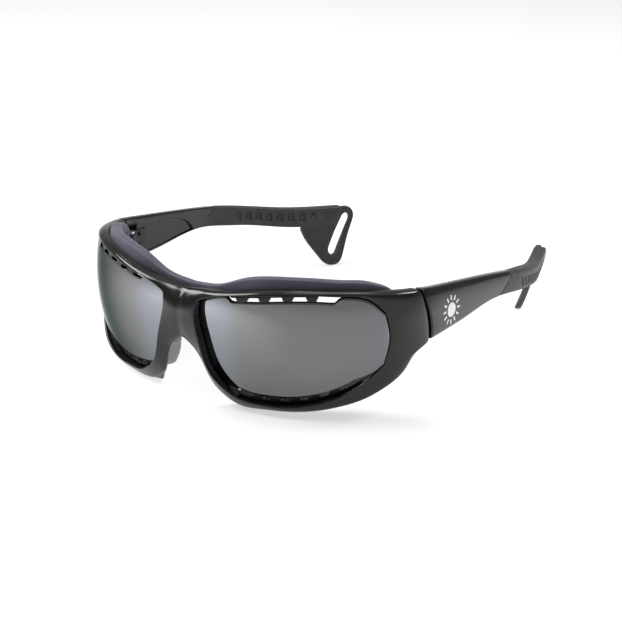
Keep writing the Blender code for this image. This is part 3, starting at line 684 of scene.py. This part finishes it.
def build_lens(side):
    """The mirror lens, in fine rings round its middle, with a polished rounded edge."""
    edge = OPENING - OPENING_NORMAL * GAP[:, None]
    middle = np.array(LENS_MIDDLE)
    rings = LENS_RINGS + tuple((share, 0.0) for share in np.linspace(*INNER_RINGS, INNER_RING_COUNT))
    made = bmesh.new()
    rims = []
    for top, sign in ((0.0, 1), (-LENS_THICKNESS, -1)):
        rows = []
        for share, drop in rings:
            places = middle + (edge - middle) * share
            w = lens_level(places[:, 0]) + top + drop * sign
            points = np.stack([places[:, 0] * side, w, places[:, 1]], axis=-1)
            rows.append([made.verts.new(point) for point in bend(points)])
        hub = made.verts.new(bend((middle[0] * side, lens_level(middle[0]) + top, middle[1])))
        rims.append(rows[0])
        for i, j in around(len(edge)):
            for row, inner in zip(rows, rows[1:]):
                made.faces.new((row[i], inner[i], inner[j], row[j]))
            made.faces.new((rows[-1][i], hub, rows[-1][j]))
    for i, j in around(len(edge)):
        made.faces.new((rims[0][i], rims[0][j], rims[1][j], rims[1][i]))
    name = sided("lens", side)
    piece(sided("mirror_lens", side), made, LENS, "front", [name], 50)


# The gasket's middle line as (u, z), its front and rear depth, and half its thickness
GASKET_LINE = ((0.0, 39.0, -6.2, -9.5, 1.9), (10.0, 40.0, -5.8, -9.0, 1.9), (26.0, 44.5, -3.7, -7.6, 2.4),
               (44.0, 45.5, -3.4, -7.4, 2.6), (58.0, 45.0, -3.4, -7.5, 2.6), (71.0, 44.0, -4.4, -8.6, 2.2),
               (80.0, 41.0, -5.0, -9.4, 1.6), (80.5, 27.0, -5.0, -10.0, 1.7), (74.0, 14.5, -5.0, -10.0, 1.8),
               (58.0, 7.5, -5.0, -10.0, 1.8), (40.0, 5.5, -5.2, -9.5, 1.8), (28.0, 6.0, -5.8, -9.0, 1.8))
# Half of the band's section, as (share of its half thickness, share of its depth). Its two ends
# round off over a few stations, down to about GASKET_END of its thickness.
GASKET_HALF = (
    (0.80, 0.0), (0.90, 0.04), (0.94, 0.12), (0.90, 0.16), (0.96, 0.21), (1.0, 0.34), (1.0, 0.52),
    (0.97, 0.68), (0.90, 0.82), (0.76, 0.93), (0.52, 0.985), (0.2, 1.0),
)
GASKET_STATIONS = 150
GASKET_END = 0.55
GASKET_END_STATIONS = 5.0


def build_gasket():
    """One moulded soft band: a crowned lip on a thinner foot, with a parting line round it."""
    line = curve(GASKET_LINE, GASKET_STATIONS)
    line = np.concatenate([line[:0:-1] * (-1, 1, 1, 1, 1), line])
    step = np.gradient(line[:, :2], axis=0)
    normal = np.stack([-step[:, 1], step[:, 0]], axis=-1)
    normal /= np.linalg.norm(normal, axis=1, keepdims=True)
    shape = GASKET_HALF + tuple((-across, along) for across, along in reversed(GASKET_HALF))
    sections = []
    for i, ((u, z, front, rear, half), n) in enumerate(zip(line, normal)):
        from_end = min(i, len(line) - 1 - i) + 0.5
        full = GASKET_END + (1.0 - GASKET_END) * math.sqrt(min(1.0, from_end / GASKET_END_STATIONS))
        waver = 0.05 * math.sin(u * 0.35) + 0.03 * math.sin(u * 0.83 + 1.0)
        section = []
        for across, along in shape:
            place = np.array([u, z]) + n * across * half * full
            section.append((place, front + (rear - front + waver) * along))
        sections.append(points_of(section))
    band = piece("soft_gasket", loft(sections), FOAM, "front", ["face_gasket"], 180, 1)


def opening_height(u, above):
    """The height of the opening's top or bottom edge at u."""
    chosen = (OPENING[:, 1] > CROWN_HEIGHT) == above
    order = np.argsort(OPENING[chosen, 0])
    return float(np.interp(u, OPENING[chosen, 0][order], OPENING[chosen, 1][order]))


def toothed_strip(base, tip, span, teeth, pitch, first, width, foot, levels):
    """Sections of a strip from base(u) to tip(u), full height on its teeth and foot high elsewhere."""
    w_front, w_rear = levels
    sections = []
    stops = [(u, 0.0) for u in np.arange(span[0], first - width, pitch / 4)]
    for i in range(teeth):
        centre = first + pitch * i
        stops += [(centre - width / 2 - TOOTH_SLOPE, 0.0), (centre - width / 2, 1.0)]
        stops += [(centre + width / 2, 1.0), (centre + width / 2 + TOOTH_SLOPE, 0.0)]
    stops += [(u, 0.0) for u in np.arange(stops[-1][0] + pitch / 4, span[1], pitch / 4)]
    for u, full in stops:
        low, high = base(u), tip(u)
        edge = low + (high - low) * (foot + (1.0 - foot) * full)
        sections.append([(u, w_front, low), (u, w_front, edge), (u, w_rear, edge), (u, w_rear, low)])
    return sections


def build_vents(side):
    """The teeth that hang in the upper vent and the ribs that stand in the lower one."""
    upper = toothed_strip(
        lambda u: opening_height(u, True) - CLEARANCE * 0.4,
        lambda u: opening_height(u, True) - UPPER_VENT_GAP + CLEARANCE,
        UPPER_STRIP, UPPER_TEETH, UPPER_TOOTH_PITCH, FIRST_TOOTH_U, TOOTH_WIDTH, UPPER_FOOT, UPPER_LEVELS,
    )
    lower = toothed_strip(
        lambda u: opening_height(u, False) + CLEARANCE,
        lambda u: opening_height(u, False) + LOWER_VENT_GAP - CLEARANCE,
        LOWER_STRIP, LOWER_RIBS, LOWER_RIB_PITCH, FIRST_RIB_U, RIB_WIDTH, LOWER_FOOT, LOWER_LEVELS,
    )
    teeth = piece(
        sided("vent_teeth", side), loft(flipped(upper, side)), TOOTH_RUBBER, "front",
        [sided("upper_vent", side)],
    )
    ribs = piece(
        sided("vent_ribs", side), loft(flipped(lower, side)), DULL_BLACK, "front",
        [sided("lower_vent", side)],
    )
    round_edges(teeth, 0.14, 3, 15)
    round_edges(ribs, 0.22, 3, 20)


# The nose leg is the outline inside this u, and its pad spans these heights
NOSE_LEG_U = 14.0
NOSE_PAD_SPAN = (7.6, 19.6)
NOSE_PAD_STATIONS = 60
# How far back the pad reaches at its ends, in its middle and on its inner side, and how far its front
# edges run forward from the clearance behind the leg
NOSE_PAD_END_REAR = 5.6
NOSE_PAD_REAR = 8.6
NOSE_PAD_INNER_REAR = 5.4
NOSE_PAD_SEAT = 1.3
NOSE_PAD_RIDGES = 13
NOSE_PAD_RIDGE_HEIGHT = 0.10


def build_nose_pad(side):
    """A rubber pad that fills the step behind the nose leg, with fine ridges along its face."""
    low, high = NOSE_PAD_SPAN
    on_leg = (OUTLINE[:, 0] < NOSE_LEG_U) & (OUTLINE[:, 1] > low) & (OUTLINE[:, 1] < high) & ~ON_BRIDGE
    leg = np.concatenate([OUTLINE, outline_inward(), RELIEF[:, 2:] + CLEARANCE], axis=1)[on_leg]
    sections = []
    for i, station in enumerate(curve(leg, NOSE_PAD_STATIONS)):
        b, m, depth = station[:2], station[2:4], station[4]
        share = i / (NOSE_PAD_STATIONS - 1)
        swell = 0.5 + 0.5 * math.sin(math.pi * share)
        rear = -NOSE_PAD_END_REAR - (NOSE_PAD_REAR - NOSE_PAD_END_REAR) * swell
        wave = math.sin(share * 2 * math.pi * NOSE_PAD_RIDGES)
        ridge = NOSE_PAD_RIDGE_HEIGHT * wave * math.sin(math.pi * share)
        section = (
            (b + m * 0.35, -depth + NOSE_PAD_SEAT),
            (b - m * (0.35 * swell + ridge), -depth - 0.5),
            (b - m * (0.5 * swell + ridge), -depth - 1.6),
            (b - m * (0.35 * swell + ridge), (rear - depth) / 2 - 0.3),
            (b - m * (0.1 + ridge), rear + 0.8),
            (b + m * 0.2, rear + 0.25),
            (b + m * 0.8, rear),
            (b + m * 1.6, rear + 0.1),
            (b + m * 2.0, rear * 0.55 - NOSE_PAD_INNER_REAR * 0.45),
            (b + m * 2.1, -NOSE_PAD_INNER_REAR - 0.6 * swell),
            (b + m * 1.9, -depth - 1.2),
            (b + m * 1.5, -depth + NOSE_PAD_SEAT),
        )
        sections.append(points_of(section))
    name = sided("nose_pad", side)
    made = loft(flipped(sections, side))
    piece(sided("ridged_pad", side), made, PAD_RUBBER, "front", [name], 180, 1)


# ---- temples

# Heights of the temple's top and bottom edges along u
TEMPLE_TOP = ((89.0, 43.0), (150.0, 34.5), (190.0, 27.0), (221.0, 24.0))
TEMPLE_BOTTOM = ((89.0, 24.5), (112.0, 26.0), (134.0, 28.0), (160.0, 24.5), (192.0, 18.5), (221.0, 16.5))


def temple_edges(u):
    """The heights of the temple's bottom and top edges at u."""
    edges = (curve(table, 120) for table in (TEMPLE_BOTTOM, TEMPLE_TOP))
    return [np.interp(u, *edge.T) for edge in edges]


def joint_u(share):
    """u of the slanted joint between the arm and its tip."""
    return JOINT_BOTTOM_U + (JOINT_TOP_U - JOINT_BOTTOM_U) * share


# The gap between the split and the arm, and the arm's or the tip's half of the gap at their joint
ARM_START = CLEARANCE + 0.15
JOINT_HALF_GAP = 0.03
# Lengths of u that hold the arm and the tip, for reading the heights of their edges
ARM_U = (86.0, 152.0)
TIP_U = (136.0, 221.0)
# The arm thins towards its joint, and its section shrinks at its two ends, which rounds them
ARM_THINNING = 0.4
SPLIT_END_SHRINK = 0.28
JOINT_END_SHRINK = 0.10

# The hollow of the inner face: its depth, the shares of height it spans, and where its top arches down
ARM_POCKET = 1.15
POCKET_TOP = 0.86
POCKET_BOTTOM = 0.02
POCKET_ARCH_U = 115.0
POCKET_ARCH_LENGTH = 18.0
# Points of the arm's section below this level belong to its inner half
INNER_FACE_LEVEL = -2.2


def arm_outside():
    """The arm's outer side as (share of height, level), with a bevelled top edge."""
    return (
        (0.0, -0.95), (0.012, -0.42), (0.045, -0.06), (0.10, 0.04), (0.25, 0.16), (0.45, 0.25),
        (0.65, 0.22), (0.80, 0.13), (0.862, 0.08), (0.885, 0.0), (0.960, -0.50), (0.985, -0.68),
        (1.0, -1.05), (1.0, -2.1),
    )


def pocket_mask(u, share):
    """1 in the hollow of the arm's inner face, which arches down to the boss before the joint."""
    along = max(0.0, (u - POCKET_ARCH_U) / POCKET_ARCH_LENGTH)
    arch = POCKET_TOP * math.sqrt(max(0.0, 1.0 - along**2))
    return float(smooth((arch - share) / 0.045) * smooth((share - POCKET_BOTTOM) / 0.04))


def arm_sections():
    """Sections of the arm from the split to the slanted joint, with rounded ends."""
    places = np.linspace(*ARM_U, 400)
    lows, highs = temple_edges(places)
    sections = []
    for s in np.concatenate([[0.0, 0.004, 0.01], np.linspace(0.02, 0.985, 120), [0.995, 1.0]]):
        thickness = ARM_THICKNESS - ARM_THINNING * s
        inner = -thickness
        profile = list(arm_outside())
        profile += [(1.0, inner + 0.7), (0.985, inner + 0.22), (0.955, inner + 0.03)]
        profile += [(share, inner) for share in np.linspace(0.93, 0.06, 40)]
        profile += [(0.035, inner + 0.05), (0.012, inner + 0.25), (0.0, inner + 0.7)]
        shrink = SPLIT_END_SHRINK * smooth(1.0 - s / 0.01) + JOINT_END_SHRINK * smooth((s - 0.985) / 0.015)
        section = []
        for share, level in profile:
            start, end = split_u(share) + ARM_START, joint_u(share) - JOINT_HALF_GAP
            u = start + (end - start) * s
            if level < INNER_FACE_LEVEL:
                level += ARM_POCKET * pocket_mask(u, share)
            level -= shrink * np.sign(level + thickness / 2)
            low, high = np.interp(u, places, lows), np.interp(u, places, highs)
            section.append((u, level, low + (high - low) * share))
        sections.append(section)
    return sections


def build_arm(side):
    made = loft(flipped(arm_sections(), side))
    name = sided("temple_arm", side)
    piece(sided("arm_shell", side), made, BLACK, temple(side), [name], 50)


# Flare: its outline and the middle line of its strap slot, as (u, z)
FLARE_CORNERS = ((194.0, 24.3, 3.0), (225.0, 24.3, 4.0), (212.5, 0.0, 5.5), (205.0, 0.0, 5.5),
                 (192.0, 18.5, 2.5))
SLOT_TOP = (218.0, 19.0)
SLOT_BOTTOM = (209.5, 6.5)
SLOT_WIDTH = 4.8
FLARE_OUT = -2.2
FLARE_IN = -4.8


def slot_outline(end_count, side_count):
    """A closed clockwise outline of the strap slot: two round ends joined by straight sides."""
    top, bottom = np.array(SLOT_TOP), np.array(SLOT_BOTTOM)
    axis = (top - bottom) / np.linalg.norm(top - bottom)
    across = np.array([axis[1], -axis[0]])
    points = []
    for start, end, sign in ((top, bottom, 1), (bottom, top, -1)):
        for turn in np.linspace(0.0, math.pi, end_count):
            arm = axis * math.sin(turn) - across * math.cos(turn)
            points.append(start + sign * SLOT_WIDTH / 2 * arm)
        for share in np.linspace(0.0, 1.0, side_count + 2)[1:-1]:
            points.append(start + (end - start) * share + sign * SLOT_WIDTH / 2 * across)
    return np.array(points)


def build_flare(side):
    """The slotted flare: a ring of rounded sections between the slot and the flare's outline."""
    inner = slot_outline(14, 12)
    centre = (np.array(SLOT_TOP) + SLOT_BOTTOM) / 2
    outer = rounded_polygon(FLARE_CORNERS, 600)
    facing = np.arctan2(*(outer - centre).T)
    sections = []
    # Each section runs across the ring, and is rounded at the slot and at the flare's outline
    for a in inner:
        turned = np.angle(np.exp(1j * (facing - math.atan2(*(a - centre)))))
        b = outer[np.argmin(np.abs(turned))]
        into = (a - b) / np.linalg.norm(a - b)
        section = (
            (a, FLARE_IN + 0.45), (a, FLARE_OUT - 0.45), (a - into * 0.14, FLARE_OUT - 0.13),
            (a - into * 0.45, FLARE_OUT), ((a + b) / 2, FLARE_OUT + 0.04), (b + into * 0.55, FLARE_OUT),
            (b + into * 0.18, FLARE_OUT - 0.14), (b, FLARE_OUT - 0.55), (b, FLARE_IN + 0.55),
            (b + into * 0.18, FLARE_IN + 0.14), (b + into * 0.55, FLARE_IN),
            ((a + b) / 2, FLARE_IN - 0.04), (a - into * 0.45, FLARE_IN), (a - into * 0.14, FLARE_IN + 0.13),
        )
        sections.append(points_of(section))
    made = loft(flipped(sections, side), ring=True)
    piece(sided("strap_flare", side), made, TIP_RUBBER, temple(side), (), 180, 1)


# The inner face's grip pockets, and the raised bar in each: half widths, and shares of height
GRIP_HALF_WIDTH = 1.75
GRIP_SHARES = (0.28, 0.80)
GRIP_DEPTH = 0.62
BAR_HALF_WIDTH = 0.75
BAR_SHARES = (0.38, 0.62)
BAR_RISE = 0.75

# The outer face's sunk panel, and the slanted ridges on its floor
PANEL_SPAN = (155.5, 206.5)
PANEL_SHARES = (0.20, 0.66)
PANEL_DEPTH = 0.42
RIDGE_PITCH = 3.4
RIDGE_SLANT = 3.0
RIDGE_DEPTH = 0.35

# The band's end at its bottom and its top. It rounds off from TIP_END_START of the length on, and its
# first sections, up to TIP_FIRST, are a little smaller.
TIP_END_U = (214.0, 218.0)
TIP_END_START = 0.965
TIP_FIRST = 0.004
TIP_SECTIONS = 420
# Both faces carry their patterns between these shares of height
PATTERN_SHARES = (0.15, 0.85)


def grip_depth(u, share):
    """How deep the inner face's grip pockets are at a place, from 0 to 1, with a raised bar in each."""
    turn = (u - GRIP_START_U) / GRIP_PITCH
    nearest = np.clip(np.round(turn), 0, GRIP_COUNT - 1)
    off = np.abs(turn - nearest) * GRIP_PITCH
    pocket = smooth((GRIP_HALF_WIDTH - off) / 0.35) * fade(share, GRIP_SHARES, 0.05)
    bar = smooth((BAR_HALF_WIDTH - off) / 0.3) * fade(share, BAR_SHARES, 0.05)
    return pocket * (1.0 - BAR_RISE * bar)


def panel_depth(u, share):
    """How deep the outer face's panel is at a place: 1 on its floor and RIDGE_DEPTH on its ridges."""
    panel = fade(u, PANEL_SPAN, 1.2) * fade(share, PANEL_SHARES, 0.06)
    slant = (u + share * RIDGE_SLANT) / RIDGE_PITCH
    floor = smooth((np.abs(slant - np.round(slant)) - 0.20) / 0.1)
    return panel * (RIDGE_DEPTH + (1.0 - RIDGE_DEPTH) * floor)


def tip_profile(thickness):
    """The tip's section as (share of height, level): its outer face, its top and its inner face."""
    inner = -thickness
    profile = [(0.0, -1.3), (0.008, -0.8), (0.03, -0.3), (0.06, -0.06)]
    profile += [(share, 0.02 + 0.23 * math.sin(math.pi * share)) for share in np.linspace(0.09, 0.86, 26)]
    profile += [(0.92, -0.06), (0.97, -0.38), (0.993, -0.8), (1.0, -1.3)]
    profile += [(1.0, inner + 1.0), (0.99, inner + 0.45), (0.965, inner + 0.14), (0.935, inner + 0.02)]
    profile += [(share, inner) for share in np.linspace(0.90, 0.10, 26)]
    profile += [(0.06, inner + 0.02), (0.03, inner + 0.14), (0.01, inner + 0.45), (0.0, inner + 1.0)]
    return profile


def tip_sections():
    """Sections of the rubber tip's band from the slanted joint to its rounded end."""
    places = np.linspace(*TIP_U, 500)
    lows, highs = temple_edges(places)
    start_thickness = ARM_THICKNESS - ARM_THINNING
    end_low, end_high = TIP_END_U
    sections = []
    for s in np.linspace(0.0, 1.0, TIP_SECTIONS):
        thickness = start_thickness + (TIP_THICKNESS - start_thickness) * smooth(s * 4)
        past = max(0.0, (s - TIP_END_START) / (1.0 - TIP_END_START))
        end_round = math.sqrt(max(1.0 - past**2, 0.04))
        thinner, lower = (0.93, 0.985) if s <= TIP_FIRST else (1.0, 1.0)
        middle = -thickness / 2
        section = []
        for share, level in tip_profile(thickness):
            start, end = joint_u(share) + JOINT_HALF_GAP, end_low + (end_high - end_low) * share
            u = start + (end - start) * s
            if PATTERN_SHARES[0] < share < PATTERN_SHARES[1]:
                if level > middle:
                    level -= PANEL_DEPTH * float(panel_depth(u, share))
                else:
                    level += GRIP_DEPTH * float(grip_depth(u, share))
            level = middle + (level - middle) * end_round * thinner
            low, high = np.interp(u, places, lows), np.interp(u, places, highs)
            share = 0.5 + (share - 0.5) * (0.5 + 0.5 * end_round) * lower
            section.append((u, level, low + (high - low) * share))
        sections.append(section)
    return sections


def build_tip(side):
    made = loft(flipped(tip_sections(), side))
    name = sided("temple_tip", side)
    piece(sided("tip_band", side), made, TIP_RUBBER, temple(side), [name], 60)


# The printed sun: its middle as (u, z), how far it stands out, its disc and its rays
MARK_CENTRE = (104.6, 32.4)
MARK_LIFT = 0.10
DISC_RADIUS = 2.5
DISC_POINTS = 40
RAY_COUNT = 12
RAY_START = 3.5
RAY_END = 5.2
RAY_HALF_WIDTH = 0.42
RAY_TAPER = 0.6


def arm_level(u, z):
    """The level of the arm's outer face at (u, z)."""
    low, high = temple_edges(u)
    shares, levels = zip(*arm_outside()[:-2])
    return float(np.interp((z - low) / (high - low), shares, levels))


def build_mark(side):
    """A plain printed sun on the arm: a disc in a ring of short rays."""
    made = bmesh.new()
    centre = np.array(MARK_CENTRE)

    def put(place, rise):
        u, z = place
        return made.verts.new(bend((u * side, arm_level(u, z) + rise, z)))

    def heading(turn):
        return np.array([math.cos(turn), math.sin(turn)])

    turns = np.linspace(0.0, 2 * math.pi, DISC_POINTS + 1)[:-1]
    rows = []
    for share, rise in ((1.0, -MARK_LIFT), (1.0, MARK_LIFT), (0.66, MARK_LIFT), (0.33, MARK_LIFT)):
        rows.append([put(centre + DISC_RADIUS * share * heading(turn), rise) for turn in turns])
    hub = put(centre, MARK_LIFT)
    base = put(centre, -MARK_LIFT)
    for i, j in around(DISC_POINTS):
        for row, inner in zip(rows, rows[1:]):
            made.faces.new((row[i], inner[i], inner[j], row[j]))
        made.faces.new((rows[-1][i], hub, rows[-1][j]))
        made.faces.new((rows[0][j], base, rows[0][i]))
    for i in range(RAY_COUNT):
        along = heading(2 * math.pi * i / RAY_COUNT)
        across = np.array([-along[1], along[0]]) * RAY_HALF_WIDTH
        near, far = centre + along * RAY_START, centre + along * RAY_END
        corners = (near - across, far - across * RAY_TAPER, far + across * RAY_TAPER, near + across)
        top = [put(corner, MARK_LIFT) for corner in corners]
        foot = [put(corner, -MARK_LIFT) for corner in corners]
        made.faces.new(top)
        made.faces.new(foot[::-1])
        for k, after in around(len(top)):
            made.faces.new((top[k], foot[k], foot[after], top[after]))
    piece(sided("sun_print", side), made, PRINT, temple(side), ())


def dress_metal():
    """Gives the hinge parts their steel, and leaves their shapes as they are."""
    for name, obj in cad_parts.items():
        if obj.hide_render:
            continue
        look = STEEL if name.startswith("hinge_pin") else BLACK_STEEL
        obj.data.materials.clear()
        obj.data.materials.append(look)


build_front()
build_gasket()
for side in (1, -1):
    build_lens(side)
    build_vents(side)
    build_nose_pad(side)
    build_arm(side)
    build_tip(side)
    build_flare(side)
    build_mark(side)
dress_metal()


# ---- camera, floor and light

CAMERA_TURN = math.radians(35.93)
CAMERA_RISE = math.radians(19.883)
CAMERA_ROLL = math.radians(0.655)
CAMERA_DISTANCE = 0.5188
CAMERA_LENS = 80.12
AIM = Vector((0.0, -0.0183, 0.0206))
AIM_RIGHT = 0.00521
AIM_UP = -0.00663

# Brightness of the room by the sine of the height above the horizon
ROOM_TONES = ((0.0, 0.85), (0.06, 0.75), (0.16, 0.36), (0.55, 0.20), (0.72, 0.50), (0.95, 1.0))
# The table's even glow, and painted pools of light where it glows brighter, as (middle, radius, gain)
FLOOR_GLOW = 0.58
PAINTED_LIGHT_POOLS = (((-0.10, -0.20, 0.0), 0.17, 1.3), ((0.16, 0.06, 0.0), 0.14, 0.9))


def direction(turn, rise):
    """The unit vector from the glasses at this turn, anticlockwise from -Y, and rise, in radians."""
    return Vector((math.sin(turn) * math.cos(rise), -math.cos(turn) * math.cos(rise), math.sin(rise)))


def build_camera():
    back = direction(CAMERA_TURN, CAMERA_RISE)
    right = Vector((math.cos(CAMERA_TURN), math.sin(CAMERA_TURN), 0.0))
    up = back.cross(right)
    rolled_right = right * math.cos(CAMERA_ROLL) + up * math.sin(CAMERA_ROLL)
    rolled_up = up * math.cos(CAMERA_ROLL) - right * math.sin(CAMERA_ROLL)
    target = AIM + right * AIM_RIGHT + up * AIM_UP
    camera = bpy.data.objects.new("camera", bpy.data.cameras.new("camera"))
    bpy.context.scene.collection.objects.link(camera)
    axes = Matrix((rolled_right, rolled_up, back)).transposed()
    camera.matrix_world = Matrix.Translation(target + back * CAMERA_DISTANCE) @ axes.to_4x4()
    camera.data.lens = CAMERA_LENS
    camera.data.sensor_width = 36.0
    camera.data.clip_start = 0.01
    camera.data.clip_end = 50.0
    bpy.context.scene.camera = camera


def build_floor():
    """A pale table that glows a little, so that shadows stay soft, and glows more in painted pools of light.
    """
    made = bmesh.new()
    bmesh.ops.create_grid(made, x_segments=1, y_segments=1, size=4.0)
    mesh = bpy.data.meshes.new("floor")
    made.to_mesh(mesh)
    made.free()
    floor = bpy.data.objects.new("floor", mesh)
    floor.location.z = -0.0002
    bpy.context.scene.collection.objects.link(floor)
    look = Look("pale_table", (0.40, 0.40, 0.40), 0.9, Specular_IOR_Level=0.0)
    look.shader.inputs["Emission Color"].default_value = (1.0, 1.0, 1.0, 1.0)
    glow = None
    # Painted pools of light: the glow rises in round pools on the table, which the glasses reflect.
    for centre, radius, gain in PAINTED_LIGHT_POOLS:
        away = look.node("ShaderNodeVectorMath", operation="DISTANCE")
        away.inputs[1].default_value = centre
        look.link(look.place, away.inputs[0])
        pool = look.remap(away.outputs["Value"], gain, 0.0, 0.0, radius)
        total = look.node("ShaderNodeMath", operation="ADD")
        total.inputs[0].default_value = FLOOR_GLOW
        if glow:
            look.link(glow, total.inputs[0])
        look.link(pool, total.inputs[1])
        glow = total.outputs[0]
    look.link(glow, look.shader.inputs["Emission Strength"])
    mesh.materials.append(look.made)


def add_softbox(name, turn, rise, distance, width, height, power):
    """A rectangular white light that faces the glasses from this turn and rise, in degrees."""
    data = bpy.data.lights.new(name, "AREA")
    data.shape = "RECTANGLE"
    data.size = width
    data.size_y = height
    data.energy = power
    back = direction(math.radians(turn), math.radians(rise))
    light = bpy.data.objects.new(name, data)
    bpy.context.scene.collection.objects.link(light)
    light.location = Vector((0.0, 0.0, 0.02)) + back * distance
    light.rotation_mode = "QUATERNION"
    light.rotation_quaternion = back.to_track_quat("Z", "Y")
    light.visible_camera = False


def build_world():
    """A studio room: pale round the horizon, dark above it, lighter again overhead."""
    world = bpy.data.worlds.new("studio")
    world.use_nodes = True
    tree = world.node_tree
    place = tree.nodes.new("ShaderNodeTexCoord")
    split = tree.nodes.new("ShaderNodeSeparateXYZ")
    ramp = tree.nodes.new("ShaderNodeValToRGB")
    tree.links.new(place.outputs["Generated"], split.inputs["Vector"])
    tree.links.new(split.outputs["Z"], ramp.inputs["Fac"])
    tree.links.new(ramp.outputs["Color"], tree.nodes["Background"].inputs["Color"])
    stops = ramp.color_ramp.elements
    while len(stops) < len(ROOM_TONES):
        stops.new(0.5)
    for stop, (height, tone) in zip(stops, ROOM_TONES):
        stop.position = height
        stop.color = (tone, tone, tone, 1.0)
    tree.nodes["Background"].inputs["Strength"].default_value = 1.0
    bpy.context.scene.world = world


build_camera()
build_floor()
build_world()
add_softbox("overhead", 200.0, 75.0, 0.9, 0.5, 0.5, 2.4)
add_softbox("front_left", -66.0, 46.0, 0.9, 0.60, 0.42, 8.5)
add_softbox("back_right", 142.0, 44.0, 0.9, 0.25, 0.20, 2.4)
bpy.context.scene.view_settings.view_transform = "Standard"
